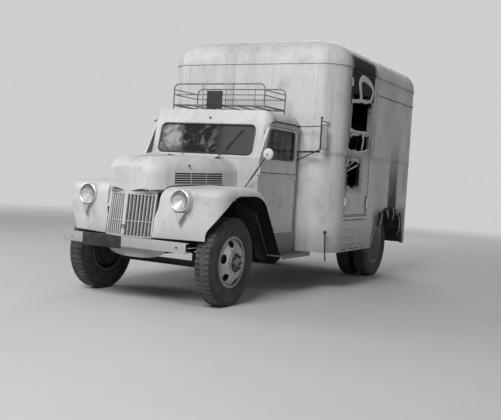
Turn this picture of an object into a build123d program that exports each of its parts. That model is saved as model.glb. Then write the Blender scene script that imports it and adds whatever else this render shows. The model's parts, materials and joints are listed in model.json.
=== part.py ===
"""Box-bodied ambulance truck with a cab behind the engine, twin rear wheels and a walk-in clinic box.

Millimetres. +Z is up, the truck faces -Y, and its own left side is +X. The origin is on the ground,
midway between the bumper's face and the rear door handles.
"""

from build123d import *
from math import cos, sin, sqrt
import os

# Places along the truck
front_axle_y = -2100
wheelbase = 4013
rear_axle_y = front_axle_y + wheelbase
bumper_face_y = -2805

# Tyres and wheels
tyre_radius = 465
tyre_width = 205
bead_radius = 254
flange_radius = 272
rim_half_width = 79
flange_thickness = 9
front_track = 1624
dual_spacing = 264
rear_track = 1650
hand_hole_radius = 29
hand_hole_circle = 172
hand_holes = 6
seat_clearance = 0.4
spin_clearance = 0.05
moving_clearance = 8

# Front axle, knuckles and steering
kingpin_x = 660
kingpin_radius = 16
axle_eye_radius = 34
axle_eye_height = 76
axle_drop_z = 395
axle_beam_height = 62
axle_beam_width = 56
spindle_radius = 30
steering_arm_length = 180
tie_rod_z = 352
tie_rod_radius = 13
tie_rod_eye_height = 34
steering_pin_radius = 9

# Rear axle
axle_tube_radius = 44
banjo_radius = 165

# Chassis frame
rail_outer_x = 432
rail_flange = 64
rail_web = 7
rail_bottom_z = 560
rail_top_z = 700
rail_rear_y = 2690

# Cab
cab_half_width = 795
cab_wall = 35
cab_floor_z = 700
cab_floor_thickness = 45
cowl_front_y = -1535
cowl_top_z = 1548
cab_rear_y = -380
cab_top_z = 2130
cab_edge_radius = 108
screen_bottom = (-1362, 1588)
screen_top = (-1274, 1968)
door_front_y = -1440
door_rear_y = -484
door_bottom_z = 706
door_top_z = 1958
belt_z = 1572
drip_rail_z = 1985
door_gap = 7

# Hood
hood_sheet = 16
hood_rear_y = cowl_front_y - 8
hood_hinge = (hood_rear_y + 4, cowl_top_z + 12)

# Fenders
fender_sheet = 12
fender_half_width = 1000

# Clinic box
box_half_width = 1250
box_front_y = -337
box_rear_y = 2768
box_bottom_z = 478
box_gutter_z = 2800
box_crown_z = 3150
box_wall = 40
box_front_radius = 320
box_rear_radius = 150
box_floor_z = 920
box_floor_thickness = 40
belt_mouldings_z = (1688, 1716)
moulding_proud = 8
moulding_height = 12

# Openings in the box
side_door_front_y = 50
side_door_rear_y = 885
side_door_bottom_z = 926
side_door_top_z = 2750
flap_bottom_z = 504
flap_top_z = 886
rear_opening_half_width = 900
rear_opening_top_z = 2700

# Windows of the cab
screen_half_width = 640
screen_height = 340
screen_corner = 58
back_window_half = 330
back_window_height = 230
back_window_z = 1760

# Hinges
hinge_pin_radius = 6
hinge_barrel_radius = 11
hinge_barrel_length = 60
hinge_standoff = 14

# Wheel arches of the box
arch_half_length = 545
arch_top_z = 1010


def turned_profile(centre_x, centre_y, points):
    """Face of a turned piece: points are (along the axle, radius), measured from a wheel's centre."""
    with BuildSketch(Plane.XZ.offset(-centre_y)) as face:
        with BuildLine():
            Polyline(*[(centre_x + x, tyre_radius + r) for x, r in points], close=True)
        make_face()
    return face.sketch


def wheel_axis(centre_y):
    """The line that a wheel on this axle turns about."""
    return Axis((0, centre_y, tyre_radius), (1, 0, 0))


def tyre(centre_x, centre_y):
    """One tyre: flat bead seats, bulged side walls and a squared tread."""
    half = tyre_width / 2
    with BuildPart() as made:
        with BuildSketch(Plane.XZ.offset(-centre_y)):
            with BuildLine():
                for side in (-1, 1):
                    bead = (centre_x + side * rim_half_width, tyre_radius + bead_radius + seat_clearance)
                    lip = (bead[0], tyre_radius + flange_radius + 4)
                    bulge = (centre_x + side * half, tyre_radius + 352)
                    shoulder = (centre_x + side * (half - 9), tyre_radius + 428)
                    edge = (centre_x + side * (half - 28), tyre_radius * 2)
                    Line((centre_x, bead[1]), bead)
                    Line(bead, lip)
                    ThreePointArc(lip, bulge, shoulder)
                    Line(shoulder, edge)
                    Line(edge, (centre_x, edge[1]))
            make_face()
        revolve(axis=wheel_axis(centre_y))
    return made.part


def rim(centre_x, centre_y):
    """A rim's trough with its two flanges."""
    outer = rim_half_width + flange_thickness
    section = [
        (-outer, flange_radius), (-rim_half_width, flange_radius), (-rim_half_width, bead_radius),
        (rim_half_width, bead_radius), (rim_half_width, flange_radius), (outer, flange_radius),
        (outer, bead_radius - 12), (-outer, bead_radius - 12),
    ]
    with BuildPart() as made:
        add(turned_profile(centre_x, centre_y, section))
        revolve(axis=wheel_axis(centre_y))
    return made.part


# Front wheels: a rim, a domed disc with hand holes, a hub and the brake drum behind it
front_wheel_x = front_track / 2
hub_bore_depth = 58
front_disc_section = [
    (28, bead_radius - 6), (62, 208), (70, 180), (70, 62), (62, 62), (62, 176), (54, 203), (20, bead_radius - 8),
]
front_hub_section = [
    (-68, 62), (78, 62), (84, 56), (112, 50), (118, 40), (118, 0), (hub_bore_depth, 0),
    (hub_bore_depth, spindle_radius), (-68, spindle_radius),
]
front_drum_section = [(-80, 192), (12, 192), (20, 184), (20, 60), (8, 60), (8, 182), (-80, 182)]
with BuildPart() as disc_front_left:
    add(rim(front_wheel_x, front_axle_y))
    for section in (front_disc_section, front_hub_section, front_drum_section):
        add(turned_profile(front_wheel_x, front_axle_y, section))
        revolve(axis=wheel_axis(front_axle_y))
    with BuildSketch(Plane((front_wheel_x + 40, front_axle_y, tyre_radius), x_dir=(0, 1, 0), z_dir=(1, 0, 0))):
        with PolarLocations(hand_hole_circle, hand_holes):
            Circle(hand_hole_radius)
    extrude(amount=60, mode=Mode.SUBTRACT)
with BuildPart() as disc_front_right:
    mirror(disc_front_left.part, about=Plane.YZ)
with BuildPart() as tyre_front_left:
    add(tyre(front_wheel_x, front_axle_y))
with BuildPart() as tyre_front_right:
    mirror(tyre_front_left.part, about=Plane.YZ)

# Rear wheels: two rims whose dished discs meet between the tyres, on one hub with its drum
rear_wheel_x = rear_track / 2
dual_offset = dual_spacing / 2
dual_disc_section = [
    (dual_offset - 76, bead_radius - 6), (14, 186), (8, 176), (8, 60), (0, 60), (0, 180), (8, 192),
    (dual_offset - 88, bead_radius - 6),
]
rear_hub_section = [
    (-150, 62), (20, 62), (20, 88), (34, 88), (40, 66), (92, 58), (96, 48), (96, 0), (60, 0),
    (60, axle_tube_radius), (-150, axle_tube_radius),
]
rear_drum_section = [(-175, 204), (-34, 204), (-26, 196), (-26, 60), (-38, 60), (-38, 192), (-175, 192)]
with BuildPart() as discs_rear_left:
    for side in (-1, 1):
        add(rim(rear_wheel_x + side * dual_offset, rear_axle_y))
        add(turned_profile(rear_wheel_x, rear_axle_y, [(side * x, r) for x, r in dual_disc_section]))
        revolve(axis=wheel_axis(rear_axle_y))
    for section in (rear_hub_section, rear_drum_section):
        add(turned_profile(rear_wheel_x, rear_axle_y, section))
        revolve(axis=wheel_axis(rear_axle_y))
with BuildPart() as discs_rear_right:
    mirror(discs_rear_left.part, about=Plane.YZ)
with BuildPart() as tyres_rear_left:
    for side in (-1, 1):
        add(tyre(rear_wheel_x + side * dual_offset, rear_axle_y))
with BuildPart() as tyres_rear_right:
    mirror(tyres_rear_left.part, about=Plane.YZ)

# Front axle: a dropped I-beam between two kingpin eyes, its kingpins, and two radius rods to the rear
eye_half = axle_eye_height / 2
spring_pad_x = 470
radius_rod_ball = (0, -1300, 466)
with BuildPart() as front_axle:
    with BuildSketch(Plane.XZ.offset(-front_axle_y)) as beam_outline:
        with BuildLine():
            FilletPolyline(
                (-kingpin_x, tyre_radius - 24), (-kingpin_x + 70, tyre_radius - 24),
                (-kingpin_x + 150, axle_drop_z - axle_beam_height / 2),
                (kingpin_x - 150, axle_drop_z - axle_beam_height / 2),
                (kingpin_x - 70, tyre_radius - 24), (kingpin_x, tyre_radius - 24),
                (kingpin_x, tyre_radius + 30), (kingpin_x - 60, tyre_radius + 30),
                (kingpin_x - 150, axle_drop_z + axle_beam_height / 2),
                (-kingpin_x + 150, axle_drop_z + axle_beam_height / 2),
                (-kingpin_x + 60, tyre_radius + 30), (-kingpin_x, tyre_radius + 30),
                radius=[0, 30, 30, 30, 30, 0, 0, 30, 30, 30, 30, 0], close=True,
            )
        make_face()
    extrude(amount=axle_beam_width / 2, both=True)
    for face_side in (-1, 1):
        with BuildSketch(Plane.XZ.offset(-front_axle_y - face_side * axle_beam_width / 2)):
            with Locations((0, axle_drop_z)):
                RectangleRounded(2 * (kingpin_x - 170), axle_beam_height - 26, 12)
        extrude(amount=face_side * 20, mode=Mode.SUBTRACT)
    with BuildSketch(Plane.XY.offset(tyre_radius - eye_half)):
        with Locations((-kingpin_x, front_axle_y), (kingpin_x, front_axle_y)):
            Circle(axle_eye_radius)
    extrude(amount=axle_eye_height)
    with BuildSketch(Plane.XY.offset(tyre_radius - eye_half - 34)):
        with Locations((-kingpin_x, front_axle_y), (kingpin_x, front_axle_y)):
            Circle(kingpin_radius)
    extrude(amount=axle_eye_height + 68)
    for side in (-1, 1):
        with BuildLine() as rod_route:
            Line((side * spring_pad_x, front_axle_y, axle_drop_z + 4), radius_rod_ball)
        with BuildSketch(Plane(rod_route.line @ 0, z_dir=rod_route.line % 0)):
            Circle(18)
        sweep(path=rod_route.line)
    with Locations(radius_rod_ball):
        Sphere(34)

# Front spring: one transverse stack of concentric leaves under the first crossmember
front_leaf_thickness = 13
front_spring_top_z = 600
front_leaves = 6
front_leaf_radius = 1390
spring_width = 56


def leaf_sector(centre, radius, thickness, half_angle, turn):
    """One leaf seen from its edge: a sector of a ring about a centre, bowed up (turn 1) or down (turn -1)."""
    ends = []
    for r in (radius, radius - thickness):
        for angle in (-half_angle, 0, half_angle):
            ends.append((centre[0] + r * sin(angle), centre[1] + turn * r * cos(angle)))
    with BuildSketch() as leaf:
        with BuildLine():
            ThreePointArc(*ends[:3])
            Line(ends[2], ends[5])
            ThreePointArc(*ends[3:])
            Line(ends[3], ends[0])
        make_face()
    return leaf.sketch


with BuildPart() as front_spring:
    with BuildSketch(Plane.XZ.offset(-front_axle_y)):
        for leaf in range(front_leaves):
            add(
                leaf_sector(
                    (0, front_spring_top_z - 12 - front_leaf_radius), front_leaf_radius - leaf * front_leaf_thickness,
                    front_leaf_thickness, (455 - 68 * leaf) / front_leaf_radius, 1,
                )
            )
    extrude(amount=spring_width / 2, both=True)
    with Locations((0, front_axle_y, front_spring_top_z - 25)):
        Box(120, 84, 50)
    shackle_low_z = axle_drop_z + axle_beam_height / 2
    shackle_high_z = front_spring_top_z - 84
    for side in (-1, 1):
        with Locations((side * 440, front_axle_y, (shackle_low_z + shackle_high_z) / 2)):
            Box(26, 70, shackle_high_z - shackle_low_z)

# Rear axle: banjo housing, tubes into the hubs, and the drive shaft forward to the engine
drive_shaft_front = (0, -1248, 615)
with BuildPart() as rear_axle:
    with BuildSketch(Plane.YZ.offset(-rear_wheel_x - 50)):
        with Locations((rear_axle_y, tyre_radius)):
            Circle(axle_tube_radius - spin_clearance)
    extrude(amount=2 * rear_wheel_x + 100)
    with BuildSketch(Plane.XZ.offset(-rear_axle_y)):
        with BuildLine():
            Polyline((-300, tyre_radius), (-300, tyre_radius + axle_tube_radius + 8), (-150, tyre_radius + 80))
            ThreePointArc((-150, tyre_radius + 80), (0, tyre_radius + banjo_radius), (150, tyre_radius + 80))
            Polyline((150, tyre_radius + 80), (300, tyre_radius + axle_tube_radius + 8), (300, tyre_radius))
            Line((300, tyre_radius), (-300, tyre_radius))
        make_face()
    revolve(axis=wheel_axis(rear_axle_y))
    with BuildLine() as shaft_route:
        Line((0, rear_axle_y - banjo_radius + 30, tyre_radius), drive_shaft_front)
    with BuildSketch(Plane(shaft_route.line @ 0, z_dir=shaft_route.line % 0)):
        Circle(38)
    sweep(path=shaft_route.line)

# Rear springs: a stack each side on the axle, hung from the rails by hangers
rear_leaf_thickness = 13
rear_leaves = 6
rear_leaf_radius = 2790
rear_spring_x = 502
rear_spring_half = 600
rear_spring_seat_z = tyre_radius + axle_tube_radius + 14
with BuildPart() as rear_springs:
    for side in (-1, 1):
        with BuildSketch(Plane.YZ.offset(side * rear_spring_x)):
            for leaf in range(rear_leaves):
                add(
                    leaf_sector(
                        (rear_axle_y, rear_spring_seat_z + rear_leaf_radius),
                        rear_leaf_radius - leaf * rear_leaf_thickness, rear_leaf_thickness,
                        (rear_spring_half - 92 * (rear_leaves - 1 - leaf)) / rear_leaf_radius, -1,
                    )
                )
        extrude(amount=spring_width / 2, both=True)
        with Locations((side * rear_spring_x, rear_axle_y, rear_spring_seat_z)):
            Box(90, 110, 28)
        hanger_x = side * (rail_outer_x + 49)
        for end in (-1, 1):
            with Locations((hanger_x, rear_axle_y + end * (rear_spring_half - 14), rail_top_z - 42)):
                Box(98, 60, 84)

# Chassis frame: two channel rails that taper at the front, joined by crossmembers
# Crossmembers: place along the truck, bottom, top, width along the truck
crossmembers = [
    (-2520, 630, 690, 70),
    (front_axle_y, 600, 690, 96),
    (-1300, 500, 560, 70),
    (-880, 645, 690, 60),
    (60, 600, 690, 60),
    (1180, 570, 690, 60),
    (2560, 570, 690, 60),
]
rail_outline = [
    (bumper_face_y + 8, 592), (bumper_face_y + 8, 668), (front_axle_y + 260, rail_top_z), (rail_rear_y, rail_top_z),
    (rail_rear_y, rail_bottom_z), (front_axle_y + 260, rail_bottom_z),
]
with BuildPart() as chassis_frame:
    for side in (-1, 1):
        with BuildSketch(Plane.YZ.offset(side * rail_outer_x)) as rail_face:
            with BuildLine():
                Polyline(*rail_outline, close=True)
            make_face()
        extrude(amount=-side * rail_flange)
        with BuildSketch(Plane.YZ.offset(side * (rail_outer_x - rail_web))):
            offset(rail_face.sketch.moved(Location((-side * rail_web, 0, 0))), amount=-rail_web)
        extrude(amount=-side * rail_flange, mode=Mode.SUBTRACT)
    for place, low, high, width in crossmembers:
        with Locations((0, place, (low + high) / 2)):
            Box(2 * (rail_outer_x - rail_web), width, high - low)

# Engine, radiator and exhaust
engine_half_width = 240
gearbox_half_width = 110
with BuildPart() as engine_block:
    with Locations((0, -1975, (690 + 1120) / 2)):
        Box(2 * engine_half_width, 730, 1120 - 690)
    fillet(engine_block.edges().filter_by(Axis.Y), 60)
    with Locations((0, -1645, (560 + 690) / 2)):
        Box(2 * gearbox_half_width, 790, 690 - 560)
with BuildPart() as radiator:
    with Locations((0, -2520, (690 + 1130) / 2)):
        Box(520, 62, 1130 - 690)
    fillet(radiator.edges().filter_by(Axis.Y), 30)
exhaust_x = -260
with BuildPart() as exhaust:
    with BuildLine() as pipe_route:
        FilletPolyline(
            (-200, -1690, 560), (exhaust_x, -1500, 470), (exhaust_x, 1300, 470), (exhaust_x - 60, 1560, 620),
            (exhaust_x - 60, 2230, 620), (exhaust_x - 60, 2700, 470), radius=90,
        )
    with BuildSketch(Plane(pipe_route.line @ 0, z_dir=pipe_route.line % 0)):
        Circle(24)
    sweep(path=pipe_route.line)
    with BuildSketch(Plane.XZ.offset(-200)):
        with Locations((exhaust_x, 470)):
            Ellipse(95, 62)
    extrude(amount=-560)
    for hanger_y, hanger_top_z in ((60, 600), (1180, 570)):
        with Locations((exhaust_x, hanger_y, (480 + hanger_top_z) / 2)):
            Box(14, 30, hanger_top_z - 480)

# Bumper: a straight channel across the frame's ends
bumper_half_width = 772
bumper_low_z = 580
bumper_high_z = 680
with BuildPart() as bumper:
    with BuildSketch(Plane.YZ.offset(-bumper_half_width)):
        with BuildLine():
            Polyline(
                (bumper_face_y, bumper_low_z), (bumper_face_y, bumper_high_z),
                (bumper_face_y + 56, bumper_high_z), (bumper_face_y + 56, bumper_high_z - 8),
                (bumper_face_y + 8, bumper_high_z - 8), (bumper_face_y + 8, bumper_low_z + 8),
                (bumper_face_y + 56, bumper_low_z + 8), (bumper_face_y + 56, bumper_low_z), close=True,
            )
        make_face()
    extrude(amount=2 * bumper_half_width)
    with BuildSketch(Plane.XZ.offset(-bumper_face_y)):
        with Locations((-bumper_half_width + 110, 630), (bumper_half_width - 110, 630)):
            Circle(11)
    extrude(amount=-20, mode=Mode.SUBTRACT)

# Grille: a pointed frame of rails and posts with upright bars between them
grille_half_width = 290
grille_top = ((-2752, 1122), (-2642, 1138))
grille_bottom = ((-2792, 694), (-2702, 694))
grille_bars_a_side = 7
grille_bar_width = 9
grille_depth = 30


def grille_point(line, share):
    """Point (along the truck, up) on the top or bottom rail, from the prow (0) to the side post (1)."""
    prow, post = line
    return prow[0] + (post[0] - prow[0]) * share, prow[1] + (post[1] - prow[1]) * share


with BuildPart() as grille:
    for side in (-1, 1):
        for line, height in ((grille_top, 26), (grille_bottom, -12)):
            for share in (0, 1):
                y, z = grille_point(line, share)
                with BuildSketch(Plane.YZ.offset(side * share * grille_half_width)):
                    with BuildLine():
                        Polyline(
                            (y - 4, z), (y - 4, z + height), (y + grille_depth + 6, z + height),
                            (y + grille_depth + 6, z), close=True,
                        )
                    make_face()
            loft()
    for bar in range(-grille_bars_a_side - 1, grille_bars_a_side + 2):
        share = abs(bar) / (grille_bars_a_side + 1)
        low = grille_point(grille_bottom, share)
        high = grille_point(grille_top, share)
        edge = 2 if bar == 0 or share == 1 else 1
        with BuildSketch(Plane.YZ.offset(bar / (grille_bars_a_side + 1) * (grille_half_width - grille_bar_width))):
            with BuildLine():
                Polyline(
                    (low[0], low[1] - 10), (high[0], high[1] + 20), (high[0] + grille_depth, high[1] + 20),
                    (low[0] + grille_depth, low[1] - 10), close=True,
                )
            make_face()
        extrude(amount=edge * grille_bar_width / 2, both=True)

# Cab: one rounded form, hollowed, then parted where its panels meet


def cab_form(inset):
    """The cab's outer form, or its inside when inset by the wall."""
    with BuildPart() as form:
        with BuildSketch(Plane.YZ.offset(-cab_half_width + inset)):
            with BuildLine():
                Polyline(
                    (cowl_front_y, cab_floor_z), (cowl_front_y, cowl_top_z), screen_bottom, screen_top,
                    (screen_top[0] + 60, cab_top_z), (cab_rear_y - 145, cab_top_z),
                    (cab_rear_y, cab_top_z - 8), (cab_rear_y, cab_floor_z), close=True,
                )
            make_face()
            if inset:
                offset(amount=-inset, kind=Kind.INTERSECTION, mode=Mode.REPLACE)
        extrude(amount=2 * (cab_half_width - inset))
        with BuildSketch(Plane.XY.offset(cab_floor_z)):
            with BuildLine():
                Polyline(
                    (-cab_half_width, cab_rear_y), (-cab_half_width, door_front_y), (-590, cowl_front_y),
                    (590, cowl_front_y), (cab_half_width, door_front_y), (cab_half_width, cab_rear_y), close=True,
                )
            make_face()
            if inset:
                offset(amount=-inset, kind=Kind.INTERSECTION, mode=Mode.REPLACE)
        extrude(amount=cab_top_z - cab_floor_z, mode=Mode.INTERSECT)
        sides = form.edges().filter_by(lambda e: abs(abs(e.center().X) - cab_half_width + inset) < 1)
        roof_sides = sides.filter_by(lambda e: e.center().Z > screen_bottom[1] + 20)
        across = form.edges().filter_by(Axis.X).filter_by(lambda e: e.center().Z > screen_top[1] + 60)
        uprights = form.edges().filter_by(Axis.Z).filter_by(lambda e: e.center().Y > cab_rear_y - inset - 5)
        fillet(roof_sides + across.sort_by(Axis.Y)[-1:] + uprights, cab_edge_radius - inset)
    return form.part


def door_outline(shrink):
    """Cut line of a cab door, seen from the side: its front lower corner is swept round the fender."""
    with BuildSketch() as outline:
        with BuildLine():
            FilletPolyline(
                (door_front_y, belt_z + 8), (door_front_y, 1010), (door_front_y + 290, door_bottom_z),
                (door_rear_y, door_bottom_z), (door_rear_y, door_top_z), (screen_top[0] + 38, door_top_z),
                radius=[0, 60, 40, 30, 80, 40], close=True,
            )
        make_face()
        if shrink:
            offset(amount=-shrink, kind=Kind.INTERSECTION, mode=Mode.REPLACE)
    return outline.sketch


cab_inside = cab_form(cab_wall)
with BuildPart() as door_cuts:
    with BuildSketch(Plane.YZ.offset(cab_half_width - cab_wall - 10)):
        add(door_outline(0))
    extrude(amount=80)
    mirror(about=Plane.YZ)
with BuildPart() as cab_panels:
    add(cab_form(0))
    add(cab_inside, mode=Mode.SUBTRACT)
    screen_middle = ((screen_bottom[0] + screen_top[0]) / 2, (screen_bottom[1] + screen_top[1]) / 2)
    screen_rise = screen_top[1] - screen_bottom[1]
    screen_run = screen_top[0] - screen_bottom[0]
    screen_plane = Plane((0, *screen_middle), x_dir=(1, 0, 0), z_dir=(0, -screen_rise, screen_run))
    with BuildSketch(screen_plane) as screen_hole:
        RectangleRounded(2 * screen_half_width, screen_height, screen_corner)
    extrude(amount=90, both=True, mode=Mode.SUBTRACT)
    add(door_cuts.part, mode=Mode.SUBTRACT)
    with BuildSketch(Plane.XZ.offset(-cab_rear_y)):
        with Locations((0, back_window_z)):
            RectangleRounded(2 * back_window_half, back_window_height, 60)
    extrude(amount=120, both=True, mode=Mode.SUBTRACT)

# Upright hinge leaves in their own frame: the pin stands on the local z axis, outwards is local x,
# the swinging panel lies towards local y, and both panels' outer faces are one standoff back
with BuildPart() as fixed_leaf:
    Cylinder(hinge_pin_radius, hinge_barrel_length + 36)
    for end in (-1, 1):
        with Locations((0, 0, end * (hinge_barrel_length / 2 + 10))):
            Cylinder(hinge_barrel_radius, 16)
        with Locations((-hinge_standoff / 2 - 10, -8, end * (hinge_barrel_length / 2 + 10))):
            Box(hinge_standoff + 20, 12, 16)
with BuildPart() as moving_leaf:
    Cylinder(hinge_barrel_radius, hinge_barrel_length)
    with Locations((-5, 24, 0)):
        Box(8, 48, hinge_barrel_length)
    with Locations((-hinge_standoff / 2 - 4, 33, 0)):
        Box(hinge_standoff - 4, 30, hinge_barrel_length)
    Cylinder(hinge_pin_radius + spin_clearance, hinge_barrel_length, mode=Mode.SUBTRACT)


def upright_hinges(axis_x, axis_y, heights, turn):
    """Frames of upright hinges at the given heights, turned about Z so that outwards faces the right way."""
    return [Plane((axis_x, axis_y, height)).rotated((0, 0, turn)) for height in heights]


cab_hinge_x = cab_half_width + hinge_standoff
cab_hinge_y = door_front_y - 3
cab_hinges = upright_hinges(cab_hinge_x, cab_hinge_y, (1090, 1440), 0)
hood_hinges = [Plane((x, *hood_hinge), x_dir=(0, 0, 1), z_dir=(1, 0, 0)) for x in (-330, 330)]

# The cab's panels: floor, cowl with the firewall, back, and the roof with its pillars
floor_top_z = cab_floor_z + cab_floor_thickness
with BuildPart() as cab_floor:
    add(cab_panels.part)
    split(bisect_by=Plane.XY.offset(floor_top_z), keep=Keep.BOTTOM)
with BuildPart() as cab_cowl:
    add(cab_panels.part)
    split(bisect_by=Plane.XY.offset(floor_top_z), keep=Keep.TOP)
    split(bisect_by=Plane.XY.offset(belt_z), keep=Keep.BOTTOM)
    split(bisect_by=Plane.XZ.offset(-door_rear_y), keep=Keep.TOP)
    for place in cab_hinges:
        add(place * fixed_leaf.part)
        add(mirror(place * fixed_leaf.part, about=Plane.YZ, mode=Mode.PRIVATE))
    for place in hood_hinges:
        add(place * fixed_leaf.part)
with BuildPart() as cab_back:
    add(cab_panels.part)
    split(bisect_by=Plane.XY.offset(floor_top_z), keep=Keep.TOP)
    split(bisect_by=Plane.XY.offset(drip_rail_z), keep=Keep.BOTTOM)
    split(bisect_by=Plane.XZ.offset(-door_rear_y), keep=Keep.BOTTOM)
with BuildPart() as cab_roof:
    add(cab_panels.part)
    split(bisect_by=Plane.XY.offset(belt_z), keep=Keep.TOP)
    with BuildSketch(Plane.YZ):
        with Locations((door_rear_y + 300, (belt_z + drip_rail_z) / 2)):
            Rectangle(600, drip_rail_z - belt_z)
    extrude(amount=900, both=True, mode=Mode.SUBTRACT)
    for side in (-1, 1):
        with BuildSketch(Plane.YZ.offset(side * (cab_half_width - 2))):
            with Locations(((screen_top[0] + cab_rear_y) / 2, drip_rail_z + 7)):
                RectangleRounded(cab_rear_y - screen_top[0] - 130, 12, 5)
        extrude(amount=side * 14)

# Windshield and the cab's back window
with BuildPart() as cab_glass:
    with BuildSketch(screen_plane.offset(-14)):
        RectangleRounded(2 * screen_half_width - 0.6, screen_height - 0.6, screen_corner)
    extrude(amount=6, both=True)
    with BuildSketch(Plane.XZ.offset(-cab_rear_y + 14)):
        with Locations((0, back_window_z)):
            RectangleRounded(2 * back_window_half - 0.6, back_window_height - 0.6, 60)
    extrude(amount=6)

# Cab doors: one wall thick, hinged at the front, with a rounded window
door_window = [
    (door_front_y + 116, belt_z + 10), (screen_top[0] + 54, door_top_z - 38), (door_rear_y - 68, door_top_z - 38),
    (door_rear_y - 68, belt_z + 10),
]
with BuildPart() as cab_door_left:
    with BuildSketch(Plane.YZ.offset(cab_half_width - cab_wall)):
        add(door_outline(door_gap))
    extrude(amount=cab_wall)
    with BuildSketch(Plane.YZ.offset(cab_half_width - cab_wall)) as door_window_hole:
        with BuildLine():
            FilletPolyline(*door_window, radius=52, close=True)
        make_face()
    extrude(amount=cab_wall, mode=Mode.SUBTRACT)
    for place in cab_hinges:
        add(place * moving_leaf.part)
    with Locations((cab_half_width + 26, door_rear_y - 92, 1370)):
        Box(12, 130, 16)
    with Locations((cab_half_width + 10, door_rear_y - 46, 1370)):
        Cylinder(9, 20, rotation=(0, 90, 0))
with BuildPart() as cab_door_right:
    mirror(cab_door_left.part, about=Plane.YZ)
with BuildPart() as door_glass_left:
    with BuildSketch(Plane.YZ.offset(cab_half_width - cab_wall / 2 - 3)):
        with BuildLine():
            FilletPolyline(*door_window, radius=52, close=True)
        make_face()
        offset(amount=-0.3, mode=Mode.REPLACE)
    extrude(amount=6)
with BuildPart() as door_glass_right:
    mirror(door_glass_left.part, about=Plane.YZ)

# Bench: a cushion on the floor and a backrest against the cab's back
bench_half_width = 640
with BuildPart() as bench:
    with Locations((0, -690, floor_top_z + 175)):
        Box(2 * bench_half_width, 460, 350)
    fillet(bench.edges().filter_by(Axis.X).group_by(Axis.Z)[-1], 60)
    with Locations((0, -492, floor_top_z + 560)):
        Box(2 * bench_half_width, 110, 400)

# Steering wheel on its column
steering_hub = Plane((350, -985, 1330), x_dir=(1, 0, 0), z_dir=(0, 0.78, 0.62))
with BuildPart() as steering_wheel:
    with BuildLine(steering_hub) as wheel_ring:
        CenterArc((0, 0), 205, 0, 360)
    with BuildSketch(Plane(wheel_ring.line @ 0, z_dir=wheel_ring.line % 0)):
        Circle(13)
    sweep(path=wheel_ring.line)
    for spoke in range(3):
        with BuildSketch(steering_hub.offset(-6)):
            with PolarLocations(100, 1, start_angle=90 + 120 * spoke):
                Rectangle(205, 22)
        extrude(amount=12)
    with BuildSketch(steering_hub.offset(-34)):
        Circle(34)
    extrude(amount=50)
    with BuildSketch(steering_hub.offset(-34)):
        Circle(21)
    extrude(amount=-560)

# Hood: a lofted lid, open underneath, that hinges along the cowl
# Sections: place along the truck, half width, bottom, top, corner radius
hood_sections = [
    (hood_rear_y, 578, 1240, 1548, 170),
    (-1820, 534, 1227, 1544, 168),
    (-2100, 486, 1212, 1538, 165),
    (-2480, 384, 1190, 1520, 150),
    (-2660, 312, 1178, 1478, 135),
    (-2738, 210, 1172, 1392, 90),
]


def hood_form(inset):
    """The hood's outer form, or the space under it when inset by the sheet."""
    with BuildPart() as form:
        for place, half_width, low, high, corner in hood_sections:
            last = place == hood_sections[-1][0]
            first = place == hood_rear_y
            station = place + inset * last + inset * first
            with BuildSketch(Plane.XZ.offset(-station)):
                with BuildLine():
                    FilletPolyline(
                        (-half_width + inset, low - inset), (half_width - inset, low - inset),
                        (half_width - inset, high - inset), (-half_width + inset, high - inset),
                        radius=[0, 0, corner - inset, corner - inset], close=True,
                    )
                make_face()
        loft()
    return form.part


hood_space = hood_form(hood_sheet)
with BuildPart() as hood:
    add(hood_form(0))
    add(hood_space, mode=Mode.SUBTRACT)
    for place in hood_hinges:
        add(place * moving_leaf.part)

# Fenders: one sheet each, arched over the wheel and swept down to the running board
fender_corner = (fender_half_width, -2500)
hood_margin = 15
fender_plan = [
    (grille_half_width + 8, -2760), (1100, -2700), (1100, -1080), (cab_half_width + 8, -1080),
    (cab_half_width + 8, door_front_y - 6), (596, cowl_front_y - 2), (hood_sections[0][1] + hood_margin, hood_rear_y),
    (hood_sections[1][1] + hood_margin, hood_sections[1][0]), (hood_sections[2][1] + hood_margin, hood_sections[2][0]),
    (hood_sections[3][1] + hood_margin, hood_sections[3][0]),
    (hood_sections[4][1] + hood_margin, hood_sections[4][0]), (grille_half_width + 8, -2676),
]
fender_arch = [(-2552, 300), (-2552, 1158), (-1630, 1158), (-1130, 470), (-1130, 300)]


def fender_form(inset):
    """The left fender's outer form, or the space under its sheet."""
    with BuildPart() as form:
        with BuildSketch(Plane.YZ.offset(200)):
            with BuildLine():
                FilletPolyline(
                    (-2706, 694), (-2628, 1204), (-2000, 1250), (-1640, 1238), (-1080, 468), (-1080, 300),
                    (-2706, 300), radius=[0, 150, 600, 330, 0, 0, 0], close=True,
                )
            make_face()
            if inset:
                offset(amount=-inset, kind=Kind.INTERSECTION, mode=Mode.REPLACE)
        extrude(amount=fender_half_width - 200 - inset)
        with BuildSketch(Plane.XY.offset(200)):
            with BuildLine():
                FilletPolyline(
                    (200, -2744), fender_corner, (fender_half_width, -1000), (200, -1000),
                    radius=[0, 170, 0, 0], close=True,
                )
            make_face()
            if inset:
                offset(amount=-inset, kind=Kind.INTERSECTION, mode=Mode.REPLACE)
        extrude(amount=1200, mode=Mode.INTERSECT)
        outer = form.faces().filter_by(Axis.X).sort_by(Axis.X)[-1]
        shoulder = outer.edges().filter_by(lambda e: e.center().Z > 700 and e.center().Y > fender_corner[1])
        fillet(shoulder, 96 - inset)
    return form.part


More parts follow.
